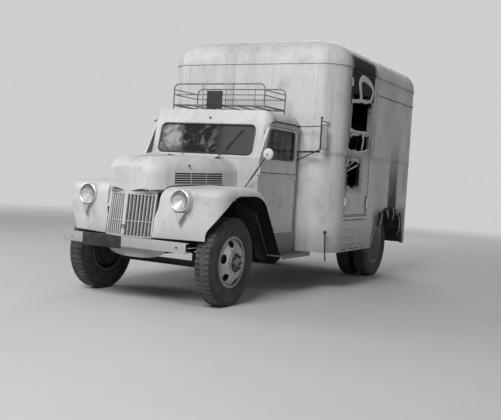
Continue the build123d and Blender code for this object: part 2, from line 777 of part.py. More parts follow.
lamp_x = 587
lamp_z = 1086
lamp_radius = 112
lamp_front_y = -2672
with BuildPart() as fender_left:
    add(fender_form(0))
    add(fender_form(fender_sheet), mode=Mode.SUBTRACT)
    with BuildSketch(Plane.XY.offset(200)):
        with BuildLine():
            Polyline(*fender_plan, close=True)
        make_face()
    extrude(amount=1200, mode=Mode.INTERSECT)
    with BuildSketch(Plane.YZ.offset(100)):
        with BuildLine():
            FilletPolyline(*fender_arch, radius=[0, 430, 480, 0, 0], close=True)
        make_face()
        with Locations((-2700, 447)):
            Rectangle(300, 494)
        with Locations((-1090, 380)):
            Rectangle(200, 200)
    extrude(amount=1000, mode=Mode.SUBTRACT)
    with BuildSketch(Plane.XZ.offset(3000)):
        with Locations((lamp_x, lamp_z)):
            Circle(lamp_radius)
    extrude(amount=-600, mode=Mode.SUBTRACT)
with BuildPart() as fender_right:
    mirror(fender_left.part, about=Plane.YZ)

# Headlamps: a bucket with its ring let into each fender, and a convex lens
with BuildPart() as headlamps:
    with BuildSketch(Plane.XY.offset(lamp_z)):
        with BuildLine():
            Polyline(
                (lamp_x, lamp_front_y + 52), (lamp_x + 96, lamp_front_y + 12), (lamp_x + 96, lamp_front_y),
                (lamp_x + lamp_radius - 3, lamp_front_y), (lamp_x + lamp_radius, lamp_front_y + 6),
                (lamp_x + lamp_radius, lamp_front_y + 110), (lamp_x + 60, lamp_front_y + 165),
                (lamp_x, lamp_front_y + 180), close=True,
            )
        make_face()
    revolve(axis=Axis((lamp_x, 0, lamp_z), (0, 1, 0)))
    mirror(about=Plane.YZ)
lens_radius = 96
lens_rise = 20
lens_curve = (lens_radius**2 + lens_rise**2) / (2 * lens_rise)
lens_middle = (lens_radius / 2, lens_curve - sqrt(lens_curve**2 - (lens_radius / 2) ** 2))
with BuildPart() as headlamp_lenses:
    with BuildSketch(Plane.XY.offset(lamp_z)):
        with BuildLine():
            for back in (0, 8):
                pole_y = lamp_front_y - lens_rise + 4 + back
                ThreePointArc(
                    (lamp_x, pole_y), (lamp_x + lens_middle[0], pole_y + lens_middle[1]),
                    (lamp_x + lens_radius, pole_y + lens_rise),
                )
            Line((lamp_x + lens_radius, lamp_front_y + 4), (lamp_x + lens_radius, lamp_front_y + 12))
            Line((lamp_x, lamp_front_y - lens_rise + 4), (lamp_x, lamp_front_y - lens_rise + 12))
        make_face()
    revolve(axis=Axis((lamp_x, 0, lamp_z), (0, 1, 0)))
    mirror(about=Plane.YZ)

# Running boards with their aprons up to the cab floor
board_top_z = 480
board_rear_y = box_front_y - 10
with BuildPart() as running_boards:
    with BuildSketch(Plane.YZ.offset(cab_half_width - 14)):
        with BuildLine():
            Polyline((-1120, board_top_z), (board_rear_y, board_top_z), (board_rear_y, board_top_z - 16),
                     (-1120, board_top_z - 16), close=True)
        make_face()
    extrude(amount=fender_half_width - cab_half_width + 14)
    with Locations((fender_half_width - 6, (board_rear_y - 1120) / 2, board_top_z - 26)):
        Box(12, board_rear_y + 1120, 36)
    with Locations((cab_half_width - 8, (-1400 - 390) / 2, (board_top_z - 16 + cab_floor_z) / 2)):
        Box(12, 1010, cab_floor_z - board_top_z + 16)
    mirror(about=Plane.YZ)

# Roof rack: two hoops, a floor frame on short legs, rails half way up and slats across
rack_tube_radius = 8
rack_half_width = 633
rack_front_y = -1095
rack_rear_y = -555
rack_top_z = 2448
rack_floor_z = 2190
rack_middle_z = 2318
with BuildPart() as roof_rack:
    for hoop_y in (rack_front_y, rack_rear_y):
        with BuildLine() as hoop:
            FilletPolyline(
                (-rack_half_width, hoop_y, cab_top_z), (-rack_half_width, hoop_y, rack_top_z),
                (rack_half_width, hoop_y, rack_top_z), (rack_half_width, hoop_y, cab_top_z), radius=70,
            )
        with BuildSketch(Plane((-rack_half_width, hoop_y, cab_top_z))):
            Circle(rack_tube_radius)
        sweep(path=hoop.line)
        for bar_z, bar_radius in ((rack_floor_z, 11), (rack_middle_z, 6)):
            with Locations((0, hoop_y, bar_z)):
                Cylinder(bar_radius, 2 * rack_half_width, rotation=(0, 90, 0))
        for upright_x in (-211, 211):
            with Locations((upright_x, hoop_y, (rack_top_z + cab_top_z) / 2)):
                Cylinder(5, rack_top_z - cab_top_z)
    for side in (-1, 1):
        for bar_z, bar_radius in ((rack_floor_z, 11), (rack_middle_z, 6), (rack_top_z - 70, 6)):
            with Locations((side * rack_half_width, (rack_front_y + rack_rear_y) / 2, bar_z)):
                Cylinder(bar_radius, rack_rear_y - rack_front_y, rotation=(90, 0, 0))
    for slat in range(5):
        slat_x = -422 + 211 * slat
        with Locations((slat_x, (rack_front_y + rack_rear_y) / 2, rack_floor_z + 4)):
            Box(44, rack_rear_y - rack_front_y, 8)

# Blank sign on the cab roof, in front of the rack
with BuildPart() as roof_sign:
    with Locations((0, -1170, 2250)):
        Box(212, 12, 212)
    with Locations((0, -1170, (cab_top_z + 2148) / 2)):
        Box(60, 30, 2148 - cab_top_z)

# Round mirror on a long arm from the cowl, and the tall mirror on the clinic box's corner
mirror_bar_x = box_half_width - 138
mirror_stays_z = (1790, 2080)
mirror_pad_y = -318
with BuildPart() as mirrors:
    with BuildLine() as mirror_arm:
        Line((724, -1490, 1235), (962, -1560, 1612))
    with BuildSketch(Plane(mirror_arm.line @ 0, z_dir=mirror_arm.line % 0)):
        Circle(6)
    sweep(path=mirror_arm.line)
    with BuildSketch(Plane((968, -1560, 1622), z_dir=(0.1, 1, 0))):
        Circle(62)
    extrude(amount=7, both=True)
    with Locations((mirror_bar_x, -500, 1935)):
        Cylinder(11, 400)
    for stay_z in mirror_stays_z:
        with BuildSketch(Plane.XZ.offset(500)):
            with Locations((mirror_bar_x, stay_z)):
                Circle(7)
        extrude(amount=-500 - mirror_pad_y)
    with BuildSketch(Plane((mirror_bar_x, -500, 1880), x_dir=(-0.4, 0.917, 0), z_dir=(0.917, 0.4, 0))):
        with Locations((66, 0)):
            RectangleRounded(112, 250, 14)
    extrude(amount=6, both=True)

# Clinic box: one wall, rounded in plan, parted into front, sides and rear


def box_plan(inset, ease=1.0):
    """The box's outline from above, inset from its outer face; its corners ease with the inset."""
    with BuildSketch() as outline:
        with BuildLine():
            FilletPolyline(
                (-box_half_width + inset, box_front_y + inset), (box_half_width - inset, box_front_y + inset),
                (box_half_width - inset, box_rear_y - inset), (-box_half_width + inset, box_rear_y - inset),
                radius=[box_front_radius - ease * inset] * 2 + [box_rear_radius - ease * inset] * 2, close=True,
            )
        make_face()
    return outline.sketch


def box_ring(inside, outside, low, high):
    """A band of the box's wall between two insets and two heights."""
    with BuildPart() as band:
        add((box_plan(outside) - box_plan(inside)).moved(Location((0, 0, low))))
        extrude(amount=high - low)
    return band.part


with BuildPart() as box_walls:
    add(box_ring(box_wall, 0, box_bottom_z, box_gutter_z))
    for moulding_z in belt_mouldings_z:
        add(box_ring(box_wall, -moulding_proud, moulding_z - moulding_height / 2, moulding_z + moulding_height / 2))
front_split_y = box_front_y + box_front_radius
rear_split_y = box_rear_y - box_rear_radius

# Side door and the step flap below it, cut from the left wall with their hinges
side_door_hinges = upright_hinges(box_half_width + hinge_standoff, side_door_front_y - 3, (1120, 1616, 2620), 0)
flap_hinges = [
    Plane((box_half_width + hinge_standoff, place, flap_bottom_z - 3), x_dir=(1, 0, 0), z_dir=(0, -1, 0))
    for place in (250, 690)
]
window_hole = [
    (112, 2030), (250, 2018), (420, 2034), (640, 2020), (782, 2036), (790, 2300), (776, 2470), (700, 2538),
    (560, 2500), (430, 2552), (300, 2490), (190, 2530), (118, 2440),
]
torn_hole = [
    (66, 1800), (170, 1764), (330, 1786), (430, 1752), (560, 1790), (700, 1768), (822, 1830), (806, 1990),
    (640, 1975), (500, 1996), (330, 1964), (120, 1992),
]
lower_hole = [
    (76, 1440), (150, 1330), (280, 1286), (420, 1300), (512, 1400), (498, 1560), (420, 1640), (250, 1628),
    (140, 1642), (112, 1560),
]


def left_wall_cut(points):
    """Prism through the left wall over a ragged outline seen from the side."""
    with BuildPart() as cutter:
        with BuildSketch(Plane.YZ.offset(box_half_width - box_wall - 20)):
            with BuildLine():
                Polyline(*points, close=True)
            make_face()
        extrude(amount=box_wall + 60)
    return cutter.part


def left_wall_panel(front, rear, low, high):
    """Block through the left wall over a rectangle seen from the side."""
    return left_wall_cut([(front, low), (rear, low), (rear, high), (front, high)])


with BuildPart() as side_door:
    add(box_walls.part)
    add(
        left_wall_panel(
            side_door_front_y + moving_clearance, side_door_rear_y - moving_clearance,
            side_door_bottom_z + moving_clearance, side_door_top_z - moving_clearance,
        ),
        mode=Mode.INTERSECT,
    )
    for hole in (window_hole, torn_hole, lower_hole):
        add(left_wall_cut(hole), mode=Mode.SUBTRACT)
    for place in side_door_hinges:
        add(place * moving_leaf.part)
    with Locations((box_half_width + 24, 815, 1100)):
        Box(12, 24, 120)
    for post_z in (1054, 1146):
        with Locations((box_half_width + 10, 815, post_z)):
            Cylinder(7, 24, rotation=(0, 90, 0))
with BuildPart() as step_flap:
    add(box_walls.part)
    add(
        left_wall_panel(
            side_door_front_y + moving_clearance, side_door_rear_y - moving_clearance,
            flap_bottom_z + moving_clearance, flap_top_z - moving_clearance - 2,
        ),
        mode=Mode.INTERSECT,
    )
    for place in flap_hinges:
        add(place * moving_leaf.part)

# Walls: the right one whole with a neat wheel arch, the left one with its openings and a torn arch
torn_arch = [
    (1062, 440), (1120, 520), (1190, 640), (1262, 800), (1370, 985), (1480, 962), (1600, 1012), (1760, 1040),
    (1890, 1018), (2040, 1066), (2170, 1000), (2290, 935), (2400, 965), (2438, 800), (2500, 690), (2548, 520),
    (2570, 440),
]
with BuildPart() as box_right_wall:
    add(box_walls.part)
    split(bisect_by=Plane.YZ, keep=Keep.BOTTOM)
    split(bisect_by=Plane.XZ.offset(-front_split_y), keep=Keep.BOTTOM)
    split(bisect_by=Plane.XZ.offset(-rear_split_y), keep=Keep.TOP)
    with BuildSketch(Plane.YZ.offset(-box_half_width - 20)):
        with BuildLine():
            FilletPolyline(
                (rear_axle_y - arch_half_length, box_bottom_z - 20), (rear_axle_y - arch_half_length, arch_top_z),
                (rear_axle_y + arch_half_length, arch_top_z), (rear_axle_y + arch_half_length, box_bottom_z - 20),
                radius=[0, 300, 300, 0], close=True,
            )
        make_face()
    extrude(amount=box_wall + 60, mode=Mode.SUBTRACT)
with BuildPart() as box_left_wall:
    add(box_walls.part)
    split(bisect_by=Plane.YZ, keep=Keep.TOP)
    split(bisect_by=Plane.XZ.offset(-front_split_y), keep=Keep.BOTTOM)
    split(bisect_by=Plane.XZ.offset(-rear_split_y), keep=Keep.TOP)
    for low, high in ((side_door_bottom_z, side_door_top_z), (flap_bottom_z, flap_top_z)):
        add(left_wall_panel(side_door_front_y, side_door_rear_y, low, high), mode=Mode.SUBTRACT)
    add(left_wall_cut(torn_arch), mode=Mode.SUBTRACT)
    for place in side_door_hinges + flap_hinges:
        add(place * fixed_leaf.part)
with BuildPart() as box_front_wall:
    add(box_walls.part)
    split(bisect_by=Plane.XZ.offset(-front_split_y), keep=Keep.TOP)
    with Locations((0, box_front_y, box_bottom_z)):
        Box(2 * (rail_outer_x + 110), 200, 2 * (rail_top_z + 4 - box_bottom_z), mode=Mode.SUBTRACT)
    for stay_z in mirror_stays_z:
        with Locations((mirror_bar_x, (mirror_pad_y - 265) / 2, stay_z)):
            Box(28, -265 - mirror_pad_y, 40)

# Rear wall and its two doors, hinged at the outer edges
rear_hinges = upright_hinges(
    rear_opening_half_width + 3, box_rear_y + hinge_standoff, (1150, 1800, 2480), 90
)
rear_window = (450, 2080, 470, 420)
rear_door_half_gap = 5


def rear_block(left, right, low, high):
    """Block through the rear wall over a rectangle seen from behind."""
    with BuildPart() as block:
        with Locations(((left + right) / 2, box_rear_y - box_wall / 2, (low + high) / 2)):
            Box(right - left, box_wall + 60, high - low)
    return block.part


with BuildPart() as rear_door_left:
    add(box_walls.part)
    add(
        rear_block(
            rear_door_half_gap, rear_opening_half_width - moving_clearance,
            side_door_bottom_z + moving_clearance, rear_opening_top_z - moving_clearance,
        ),
        mode=Mode.INTERSECT,
    )
    with BuildSketch(Plane.XZ.offset(-box_rear_y - 30)):
        with Locations(rear_window[:2]):
            RectangleRounded(*rear_window[2:], 50)
    extrude(amount=100, mode=Mode.SUBTRACT)
    for place in rear_hinges:
        add(place * moving_leaf.part)
    with Locations((70, box_rear_y + 24, 1400)):
        Box(24, 12, 160)
    for post_z in (1340, 1460):
        with Locations((70, box_rear_y + 10, post_z)):
            Cylinder(7, 24, rotation=(90, 0, 0))
with BuildPart() as rear_door_right:
    mirror(rear_door_left.part, about=Plane.YZ)
with BuildPart() as rear_glass_left:
    with BuildSketch(Plane.XZ.offset(-box_rear_y + 17)):
        with Locations(rear_window[:2]):
            RectangleRounded(rear_window[2] - 0.6, rear_window[3] - 0.6, 50)
    extrude(amount=6)
with BuildPart() as rear_glass_right:
    mirror(rear_glass_left.part, about=Plane.YZ)
with BuildPart() as box_rear_wall:
    add(box_walls.part)
    split(bisect_by=Plane.XZ.offset(-rear_split_y), keep=Keep.BOTTOM)
    add(
        rear_block(-rear_opening_half_width, rear_opening_half_width, side_door_bottom_z, rear_opening_top_z),
        mode=Mode.SUBTRACT,
    )
    for place in rear_hinges:
        add(place * fixed_leaf.part)
        add(mirror(place * fixed_leaf.part, about=Plane.YZ, mode=Mode.PRIVATE))

# Box floor on its bearers, with a hollow wheel box over each pair of rear tyres
wheel_box_inner_x = 560
wheel_box_half_length = 560
wheel_box_top_z = 1090
wheel_box_sheet = 12
bearer_top_z = box_floor_z - box_floor_thickness
bearers_y = (-200, 300, 800, 1230, 2600)
with BuildPart() as box_bearers:
    for bearer_y in bearers_y:
        with Locations((0, bearer_y, (rail_top_z + bearer_top_z) / 2)):
            Box(2 * box_half_width, 70, bearer_top_z - rail_top_z)
    with BuildSketch(Plane.XY.offset(rail_top_z)):
        add(box_plan(box_wall + 6))
    extrude(amount=bearer_top_z - rail_top_z, mode=Mode.INTERSECT)
with BuildPart() as box_floor:
    add(box_plan(box_wall).moved(Location((0, 0, bearer_top_z))))
    extrude(amount=box_floor_thickness)
    wheel_box_width = box_half_width - box_wall - wheel_box_inner_x
    for side in (-1, 1):
        centre_x = side * (wheel_box_inner_x + wheel_box_width / 2)
        with Locations((centre_x, rear_axle_y, (bearer_top_z + wheel_box_top_z) / 2)):
            Box(wheel_box_width, 2 * wheel_box_half_length, wheel_box_top_z - bearer_top_z)
    for side in (-1, 1):
        centre_x = side * (wheel_box_inner_x + wheel_box_sheet + wheel_box_width / 2)
        with Locations((centre_x, rear_axle_y, (bearer_top_z + wheel_box_top_z) / 2 - wheel_box_sheet)):
            Box(
                wheel_box_width, 2 * (wheel_box_half_length - wheel_box_sheet), wheel_box_top_z - bearer_top_z,
                mode=Mode.SUBTRACT,
            )
    add(box_bearers.part)

# Roof: domed, rounded along its edges and hollow, with the gutter round its foot
# Sections: rise above the gutter, how far the outline is drawn in
roof_sections = [(0, 0), (165, 34), (275, 150), (box_crown_z - box_gutter_z, 430)]
roof_corner_ease = 0.3


def roof_form(inset):
    """The roof's outer form, or its inside when inset by the wall: a loft of four rounded outlines."""
    with BuildPart() as form:
        for rise, draw_in in roof_sections:
            height = box_gutter_z + rise - (inset if rise else 0)
            add(box_plan(draw_in + inset, roof_corner_ease).moved(Location((0, 0, height))))
        loft()
    return form.part


with BuildPart() as box_roof:
    add(roof_form(0))
    add(roof_form(box_wall), mode=Mode.SUBTRACT)
    add(box_ring(box_wall, -moulding_proud - 4, box_gutter_z, box_gutter_z + 14))

# Steering: each knuckle is a yoke round the axle's eye with its spindle, backing plate and arm
yoke_height = 28
yoke_outer_x = kingpin_x + 52
with BuildPart() as knuckle_left:
    for level in (-1, 1):
        with BuildSketch(Plane.XY.offset(tyre_radius + level * (eye_half + 1 + yoke_height / 2) - yoke_height / 2)):
            with Locations((kingpin_x, front_axle_y)):
                Circle(32)
            with Locations((kingpin_x + 26, front_axle_y)):
                Rectangle(52, 64)
        extrude(amount=yoke_height)
    with Locations((yoke_outer_x - 6, front_axle_y, tyre_radius)):
        Box(12, 64, 2 * (eye_half + 1 + yoke_height))
    with BuildSketch(Plane.YZ.offset(yoke_outer_x)):
        with Locations((front_axle_y, tyre_radius)):
            Circle(172)
    extrude(amount=6)
    with BuildSketch(Plane.YZ.offset(yoke_outer_x)):
        with Locations((front_axle_y, tyre_radius)):
            Circle(spindle_radius - spin_clearance)
    extrude(amount=front_wheel_x + hub_bore_depth - 4 - yoke_outer_x)
    arm_low_z = tyre_radius - eye_half - 1 - yoke_height
    with Locations((kingpin_x, front_axle_y + steering_arm_length / 2 + 8, arm_low_z + 8)):
        Box(36, steering_arm_length + 20, 16)
    with BuildSketch(Plane.XY.offset(tie_rod_z - 16)):
        with Locations((kingpin_x, front_axle_y + steering_arm_length)):
            Circle(steering_pin_radius)
    extrude(amount=arm_low_z + 8 - tie_rod_z + 16)
    with BuildSketch(Plane.XY.offset(arm_low_z - 20)):
        with Locations((kingpin_x, front_axle_y)):
            Circle(kingpin_radius + spin_clearance)
    extrude(amount=2 * (tyre_radius - arm_low_z) + 40, mode=Mode.SUBTRACT)
with BuildPart() as knuckle_right:
    mirror(knuckle_left.part, about=Plane.YZ)
tie_rod_y = front_axle_y + steering_arm_length
with BuildPart() as tie_rod:
    with Locations((0, tie_rod_y, tie_rod_z)):
        Cylinder(tie_rod_radius, 2 * kingpin_x - 30, rotation=(0, 90, 0))
    with Locations((-kingpin_x, tie_rod_y, tie_rod_z), (kingpin_x, tie_rod_y, tie_rod_z)):
        Cylinder(22, tie_rod_eye_height)
    with Locations((kingpin_x, tie_rod_y, tie_rod_z)):
        Cylinder(steering_pin_radius + spin_clearance, 2 * tie_rod_eye_height, mode=Mode.SUBTRACT)
    with Locations((-kingpin_x, tie_rod_y, tie_rod_z)):
        Cylinder(steering_pin_radius + 2, 2 * tie_rod_eye_height, mode=Mode.SUBTRACT)

pieces = {
    "chassis_frame": chassis_frame, "front_axle": front_axle, "front_spring": front_spring,
    "rear_axle": rear_axle, "rear_springs": rear_springs, "engine_block": engine_block, "radiator": radiator,
    "exhaust": exhaust, "bumper": bumper, "grille": grille, "fender_left": fender_left,
    "fender_right": fender_right, "headlamps": headlamps, "headlamp_lenses": headlamp_lenses,
    "running_boards": running_boards, "cab_floor": cab_floor, "cab_cowl": cab_cowl, "cab_back": cab_back,
    "cab_roof": cab_roof, "cab_glass": cab_glass, "bench": bench, "steering_wheel": steering_wheel,
    "roof_rack": roof_rack, "roof_sign": roof_sign, "mirrors": mirrors, "box_floor": box_floor,
    "box_front_wall": box_front_wall, "box_left_wall": box_left_wall, "box_right_wall": box_right_wall,
    "box_rear_wall": box_rear_wall, "box_roof": box_roof, "tyre_front_left": tyre_front_left,
    "disc_front_left": disc_front_left, "tyre_front_right": tyre_front_right,
    "disc_front_right": disc_front_right, "tyres_rear_left": tyres_rear_left,
    "discs_rear_left": discs_rear_left, "tyres_rear_right": tyres_rear_right,
    "discs_rear_right": discs_rear_right, "knuckle_left": knuckle_left, "knuckle_right": knuckle_right,
    "tie_rod": tie_rod, "hood": hood, "cab_door_left": cab_door_left, "cab_door_right": cab_door_right,
    "door_glass_left": door_glass_left, "door_glass_right": door_glass_right, "side_door": side_door,
    "step_flap": step_flap, "rear_door_left": rear_door_left, "rear_door_right": rear_door_right,
    "rear_glass_left": rear_glass_left, "rear_glass_right": rear_glass_right,
}
os.makedirs("parts", exist_ok=True)
for node_name, piece in pieces.items():
    piece.part.label = node_name
    export_step(piece.part, f"parts/{node_name}.step")
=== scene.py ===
"""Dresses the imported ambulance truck: paint, glass, rubber and the small parts that its solids leave out.

Metres. +Z is up, the truck faces -Y, and its own left side is +X. Every piece rides on one of the
truck's bodies, and every pattern is worked out from places on the truck.
"""

import json
from functools import lru_cache

import bmesh
import bpy
import numpy as np
from bpy.props import FloatProperty, FloatVectorProperty, IntProperty, PointerProperty
from mathutils import Matrix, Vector
from mathutils.bvhtree import BVHTree


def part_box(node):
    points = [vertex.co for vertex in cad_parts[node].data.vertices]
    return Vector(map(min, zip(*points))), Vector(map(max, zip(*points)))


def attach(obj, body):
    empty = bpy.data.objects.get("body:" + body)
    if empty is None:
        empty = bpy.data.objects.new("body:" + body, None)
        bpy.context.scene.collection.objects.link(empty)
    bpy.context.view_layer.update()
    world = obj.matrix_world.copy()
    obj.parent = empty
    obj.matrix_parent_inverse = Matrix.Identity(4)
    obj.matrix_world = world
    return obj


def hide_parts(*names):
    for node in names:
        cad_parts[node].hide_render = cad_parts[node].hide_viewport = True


bl_info = {
    "name": "Ambulance truck dressing",
    "version": (1, 0, 0),
    "blender": (4, 5, 0),
    "location": "View3D > Sidebar > Truck",
    "description": "Paint, glass, tyres, trim and damage for the box-bodied ambulance truck",
    "category": "Object",
}

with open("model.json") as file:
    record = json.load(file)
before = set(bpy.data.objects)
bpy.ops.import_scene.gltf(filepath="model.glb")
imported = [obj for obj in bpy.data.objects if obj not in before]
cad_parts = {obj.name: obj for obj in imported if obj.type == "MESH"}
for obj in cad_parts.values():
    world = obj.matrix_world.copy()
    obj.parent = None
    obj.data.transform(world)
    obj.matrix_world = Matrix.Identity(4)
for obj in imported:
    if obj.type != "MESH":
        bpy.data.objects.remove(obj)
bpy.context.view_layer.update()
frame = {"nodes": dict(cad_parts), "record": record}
NODES = frame["nodes"]
SIDES = {-1: "right", 1: "left"}
SLOTS = {row["slot"] for row in frame["record"]["materials"]}

# Each axle's place along and up; then how far out the front wheel and the middle of the rear pair stand
TYRE_RADIUS = 0.465
FRONT_AXLE = (-2.100, TYRE_RADIUS)
REAR_AXLE = (1.913, TYRE_RADIUS)
FRONT_WHEEL_X = 0.812
REAR_PAIR_X = 0.825
TWIN_OFFSET = 0.132


# Sizes and colours that a user would change


def length(name, description, default):
    """A length in metres for the panel."""
    return FloatProperty(name=name, description=description, default=default, min=0, unit="LENGTH", precision=4)


def colour(name, description, default):
    """A linear colour for the panel."""
    return FloatVectorProperty(name=name, description=description, default=default, subtype="COLOR", min=0, max=1)


class TruckSizes(bpy.types.PropertyGroup):
    """Sizes of the tyres' tread and of the small trim"""
    tread_depth: length("Tread depth", "Depth of the slots in the tyres' shoulders", 0.010)
    tread_pitches: IntProperty(name="Tread pitches", description="Tread slots round a tyre", default=51, min=12)
    nut_width: length("Wheel nut", "Wheel nuts, across the flats", 0.030)
    rivet_radius: length("Rivet radius", "Radius of the box's rivet heads", 0.0045)
    rivet_pitch: length("Rivet pitch", "Distance between rivets along a seam", 0.080)
    seam_width: length("Seam strip", "Width of the cover strips over the box's seams", 0.026)
    gasket_radius: length("Window rubber", "Radius of the windows' rubber edging", 0.009)
    wiper_length: length("Wiper", "Length of the wiper blade", 0.300)


class TruckColours(bpy.types.PropertyGroup):
    """Colours of the paint, the dirt on it and the other materials"""
    paint: colour("Paint", "The body's pale grey paint", (0.66, 0.665, 0.67))
    # This colour serves the streaks and blotches, and the darkening towards the bottom
    dirt: colour("Dirt", "Road dirt on the lower panels", (0.150, 0.146, 0.140))
    soot: colour("Soot", "Burnt paint round the damage", (0.014, 0.0135, 0.013))
    rust: colour("Rust", "Bare rusty metal at chips and torn edges", (0.070, 0.055, 0.045))
    rubber: colour("Rubber", "Tyres and window rubber", (0.030, 0.030, 0.031))
    underside: colour("Underside", "Frame, axles and springs", (0.026, 0.026, 0.025))
    glass: colour("Glass", "The dark windows", (0.010, 0.011, 0.012))
    # The window film's colour serves both dust and painted reflection
    film: colour("Window film", "Dust and pale blotches on the windows", (0.42, 0.425, 0.43))
    steel: colour("Bright steel", "Lamps, mirrors and handles", (0.62, 0.62, 0.61))
    seat: colour("Seat cover", "The bench's worn cover", (0.060, 0.052, 0.045))
    boards: colour("Floor boards", "The clinic box's wooden floor", (0.16, 0.125, 0.09))
    plate: colour("Blank plates", "The blank number plate and the blank sign", (0.016, 0.016, 0.017))


class StageSettings(bpy.types.PropertyGroup):
    """The studio's colours, lamps and lens"""
    floor: colour("Floor", "The pale studio floor", (0.60, 0.60, 0.595))
    sky: colour("Backdrop", "What the camera sees behind the truck", (0.62, 0.62, 0.615))
    key_power: FloatProperty(name="Key light", description="Power of the main lamp", default=1040, subtype="POWER")
    fill_power: FloatProperty(name="Fill light", description="Power of each side lamp", default=330, subtype="POWER")
    world_light: FloatProperty(name="World light", description="Strength of the even light", default=0.15, min=0)
    lens: FloatProperty(name="Lens", description="Focal length on a 36 mm sensor", default=55.53, unit="CAMERA")


def sizes():
    """The sizes as the panel has them."""
    return bpy.context.scene.truck_sizes


def colours():
    """The colours as the panel has them."""
    return bpy.context.scene.truck_colours


def grey(level):
    """A neutral colour of one level."""
    return (level, level, level)


# Shader maths


class Signal:
    """A number that varies over a surface. Arithmetic on it adds Math nodes."""

    def __init__(self, finish, socket):
        self.finish = finish
        self.socket = socket

    def maths(self, operation, *values):
        """One Math node on the values."""
        return self.finish.add("ShaderNodeMath", {"operation": operation}, values)

    def __add__(self, other):
        return self.maths("ADD", self, other)

    def __radd__(self, other):
        return self.maths("ADD", other, self)

    def __sub__(self, other):
        return self.maths("SUBTRACT", self, other)

    def __rsub__(self, other):
        return self.maths("SUBTRACT", other, self)

    def __mul__(self, other):
        return self.maths("MULTIPLY", self, other)

    def __rmul__(self, other):
        return self.maths("MULTIPLY", other, self)

    def __truediv__(self, other):
        return self.maths("DIVIDE", self, other)

    def __abs__(self):
        return self.maths("ABSOLUTE", self)

    def __pow__(self, other):
        return self.maths("POWER", self, other)

    def either(self, other):
        """The larger of two masks."""
        return self.maths("MAXIMUM", self, other)

    def capped(self, limit):
        """The smaller of the signal and a limit."""
        return self.maths("MINIMUM", self, limit)

    def rise(self, low, high):
        """A smooth step from 0 at low to 1 at high."""
        return self.finish.add(
            "ShaderNodeMapRange", {"interpolation_type": "SMOOTHSTEP"},
            {"Value": self, "From Min": low, "From Max": high},
        )

    def fall(self, low, high):
        """A smooth step from 1 at low to 0 at high."""
        return 1 - self.rise(low, high)

    def near(self, centre, reach, soft):
        """1 within reach of a value, and 0 beyond reach plus soft."""
        return abs(self - centre).fall(reach, reach + soft)


class Finish:
    """One material: a Principled shader and the nodes that feed it."""

    def __init__(self, name, **fixed):
        self.material = bpy.data.materials.new(name)
        self.material.use_nodes = True
        self.tree = self.material.node_tree
        self.tree.nodes.clear()
        self.output = self.tree.nodes.new("ShaderNodeOutputMaterial")
        self.shader = self.tree.nodes.new("ShaderNodeBsdfPrincipled")
        self.tree.links.new(self.shader.outputs["BSDF"], self.output.inputs["Surface"])
        for socket, value in fixed.items():
            self.shader.inputs[socket.replace("_", " ")].default_value = value
        self.place = self.add("ShaderNodeTexCoord", output="Object")
        self.x, self.y, self.z = (self.add("ShaderNodeSeparateXYZ", {}, [self.place], output=axis) for axis in "XYZ")

    def add(self, kind, settings=None, values=(), output=0):
        """Adds a node: its settings first, then its sockets by name or by order; gives one output."""
        node = self.tree.nodes.new(kind)
        for key, value in (settings or {}).items():
            setattr(node, key, value)
        pairs = values.items() if isinstance(values, dict) else enumerate(values)
        for key, value in pairs:
            if isinstance(value, Signal):
                self.tree.links.new(value.socket, node.inputs[key])
            else:
                node.inputs[key].default_value = value
        return Signal(self, node.outputs[output])

    def feed(self, **inputs):
        """Links signals to the shader's sockets, or sets plain values on them."""
        for key, value in inputs.items():
            socket = self.shader.inputs[key.replace("_", " ")]
            if isinstance(value, Signal):
                self.tree.links.new(value.socket, socket)
            else:
                socket.default_value = value
        return self

    def glow(self, tint, mask):
        """Goes over to a plain glowing colour as the mask rises."""
        light = self.add("ShaderNodeEmission", {}, {"Color": self.tint(tint), "Strength": 1.0})
        mixed = self.add("ShaderNodeMixShader", {}, [mask, Signal(self, self.shader.outputs["BSDF"]), light])
        self.tree.links.new(mixed.socket, self.output.inputs["Surface"])

    def noise(self, scale, detail=3.0, roughness=0.55, stretch=(1, 1, 1), shift=(0, 0, 0), distortion=0.0):
        """Cloudy noise from 0 to 1 on places of the truck, stretched by a factor for each axis."""
        where = self.add("ShaderNodeMapping", {}, {"Vector": self.place, "Scale": stretch, "Location": shift})
        return self.add(
            "ShaderNodeTexNoise", {},
            {"Vector": where, "Scale": scale, "Detail": detail, "Roughness": roughness, "Distortion": distortion},
        )

    def spots(self, scale, radius, soft, shift=(0, 0, 0)):
        """Small round spots, one in each cell of a random grid."""
        where = self.add("ShaderNodeMapping", {}, {"Vector": self.place, "Location": shift})
        distance = self.add("ShaderNodeTexVoronoi", {}, {"Vector": where, "Scale": scale}, output="Distance")
        return distance.fall(radius * scale, (radius + soft) * scale)

    def blend(self, mask, under, over):
        """A colour that goes from under to over as the mask rises."""
        return self.add(
            "ShaderNodeMix", {"data_type": "RGBA"}, {0: mask, 6: self.tint(under), 7: self.tint(over)}, output=2
        )

    def tint(self, value):
        """A colour as a signal, or with its alpha of 1."""
        return value if isinstance(value, Signal) else (*value, 1.0)

    def bump(self, height, distance, strength):
        """A normal bent by a height in units of distance."""
        return self.add("ShaderNodeBump", {}, {"Height": height, "Distance": distance, "Strength": strength})


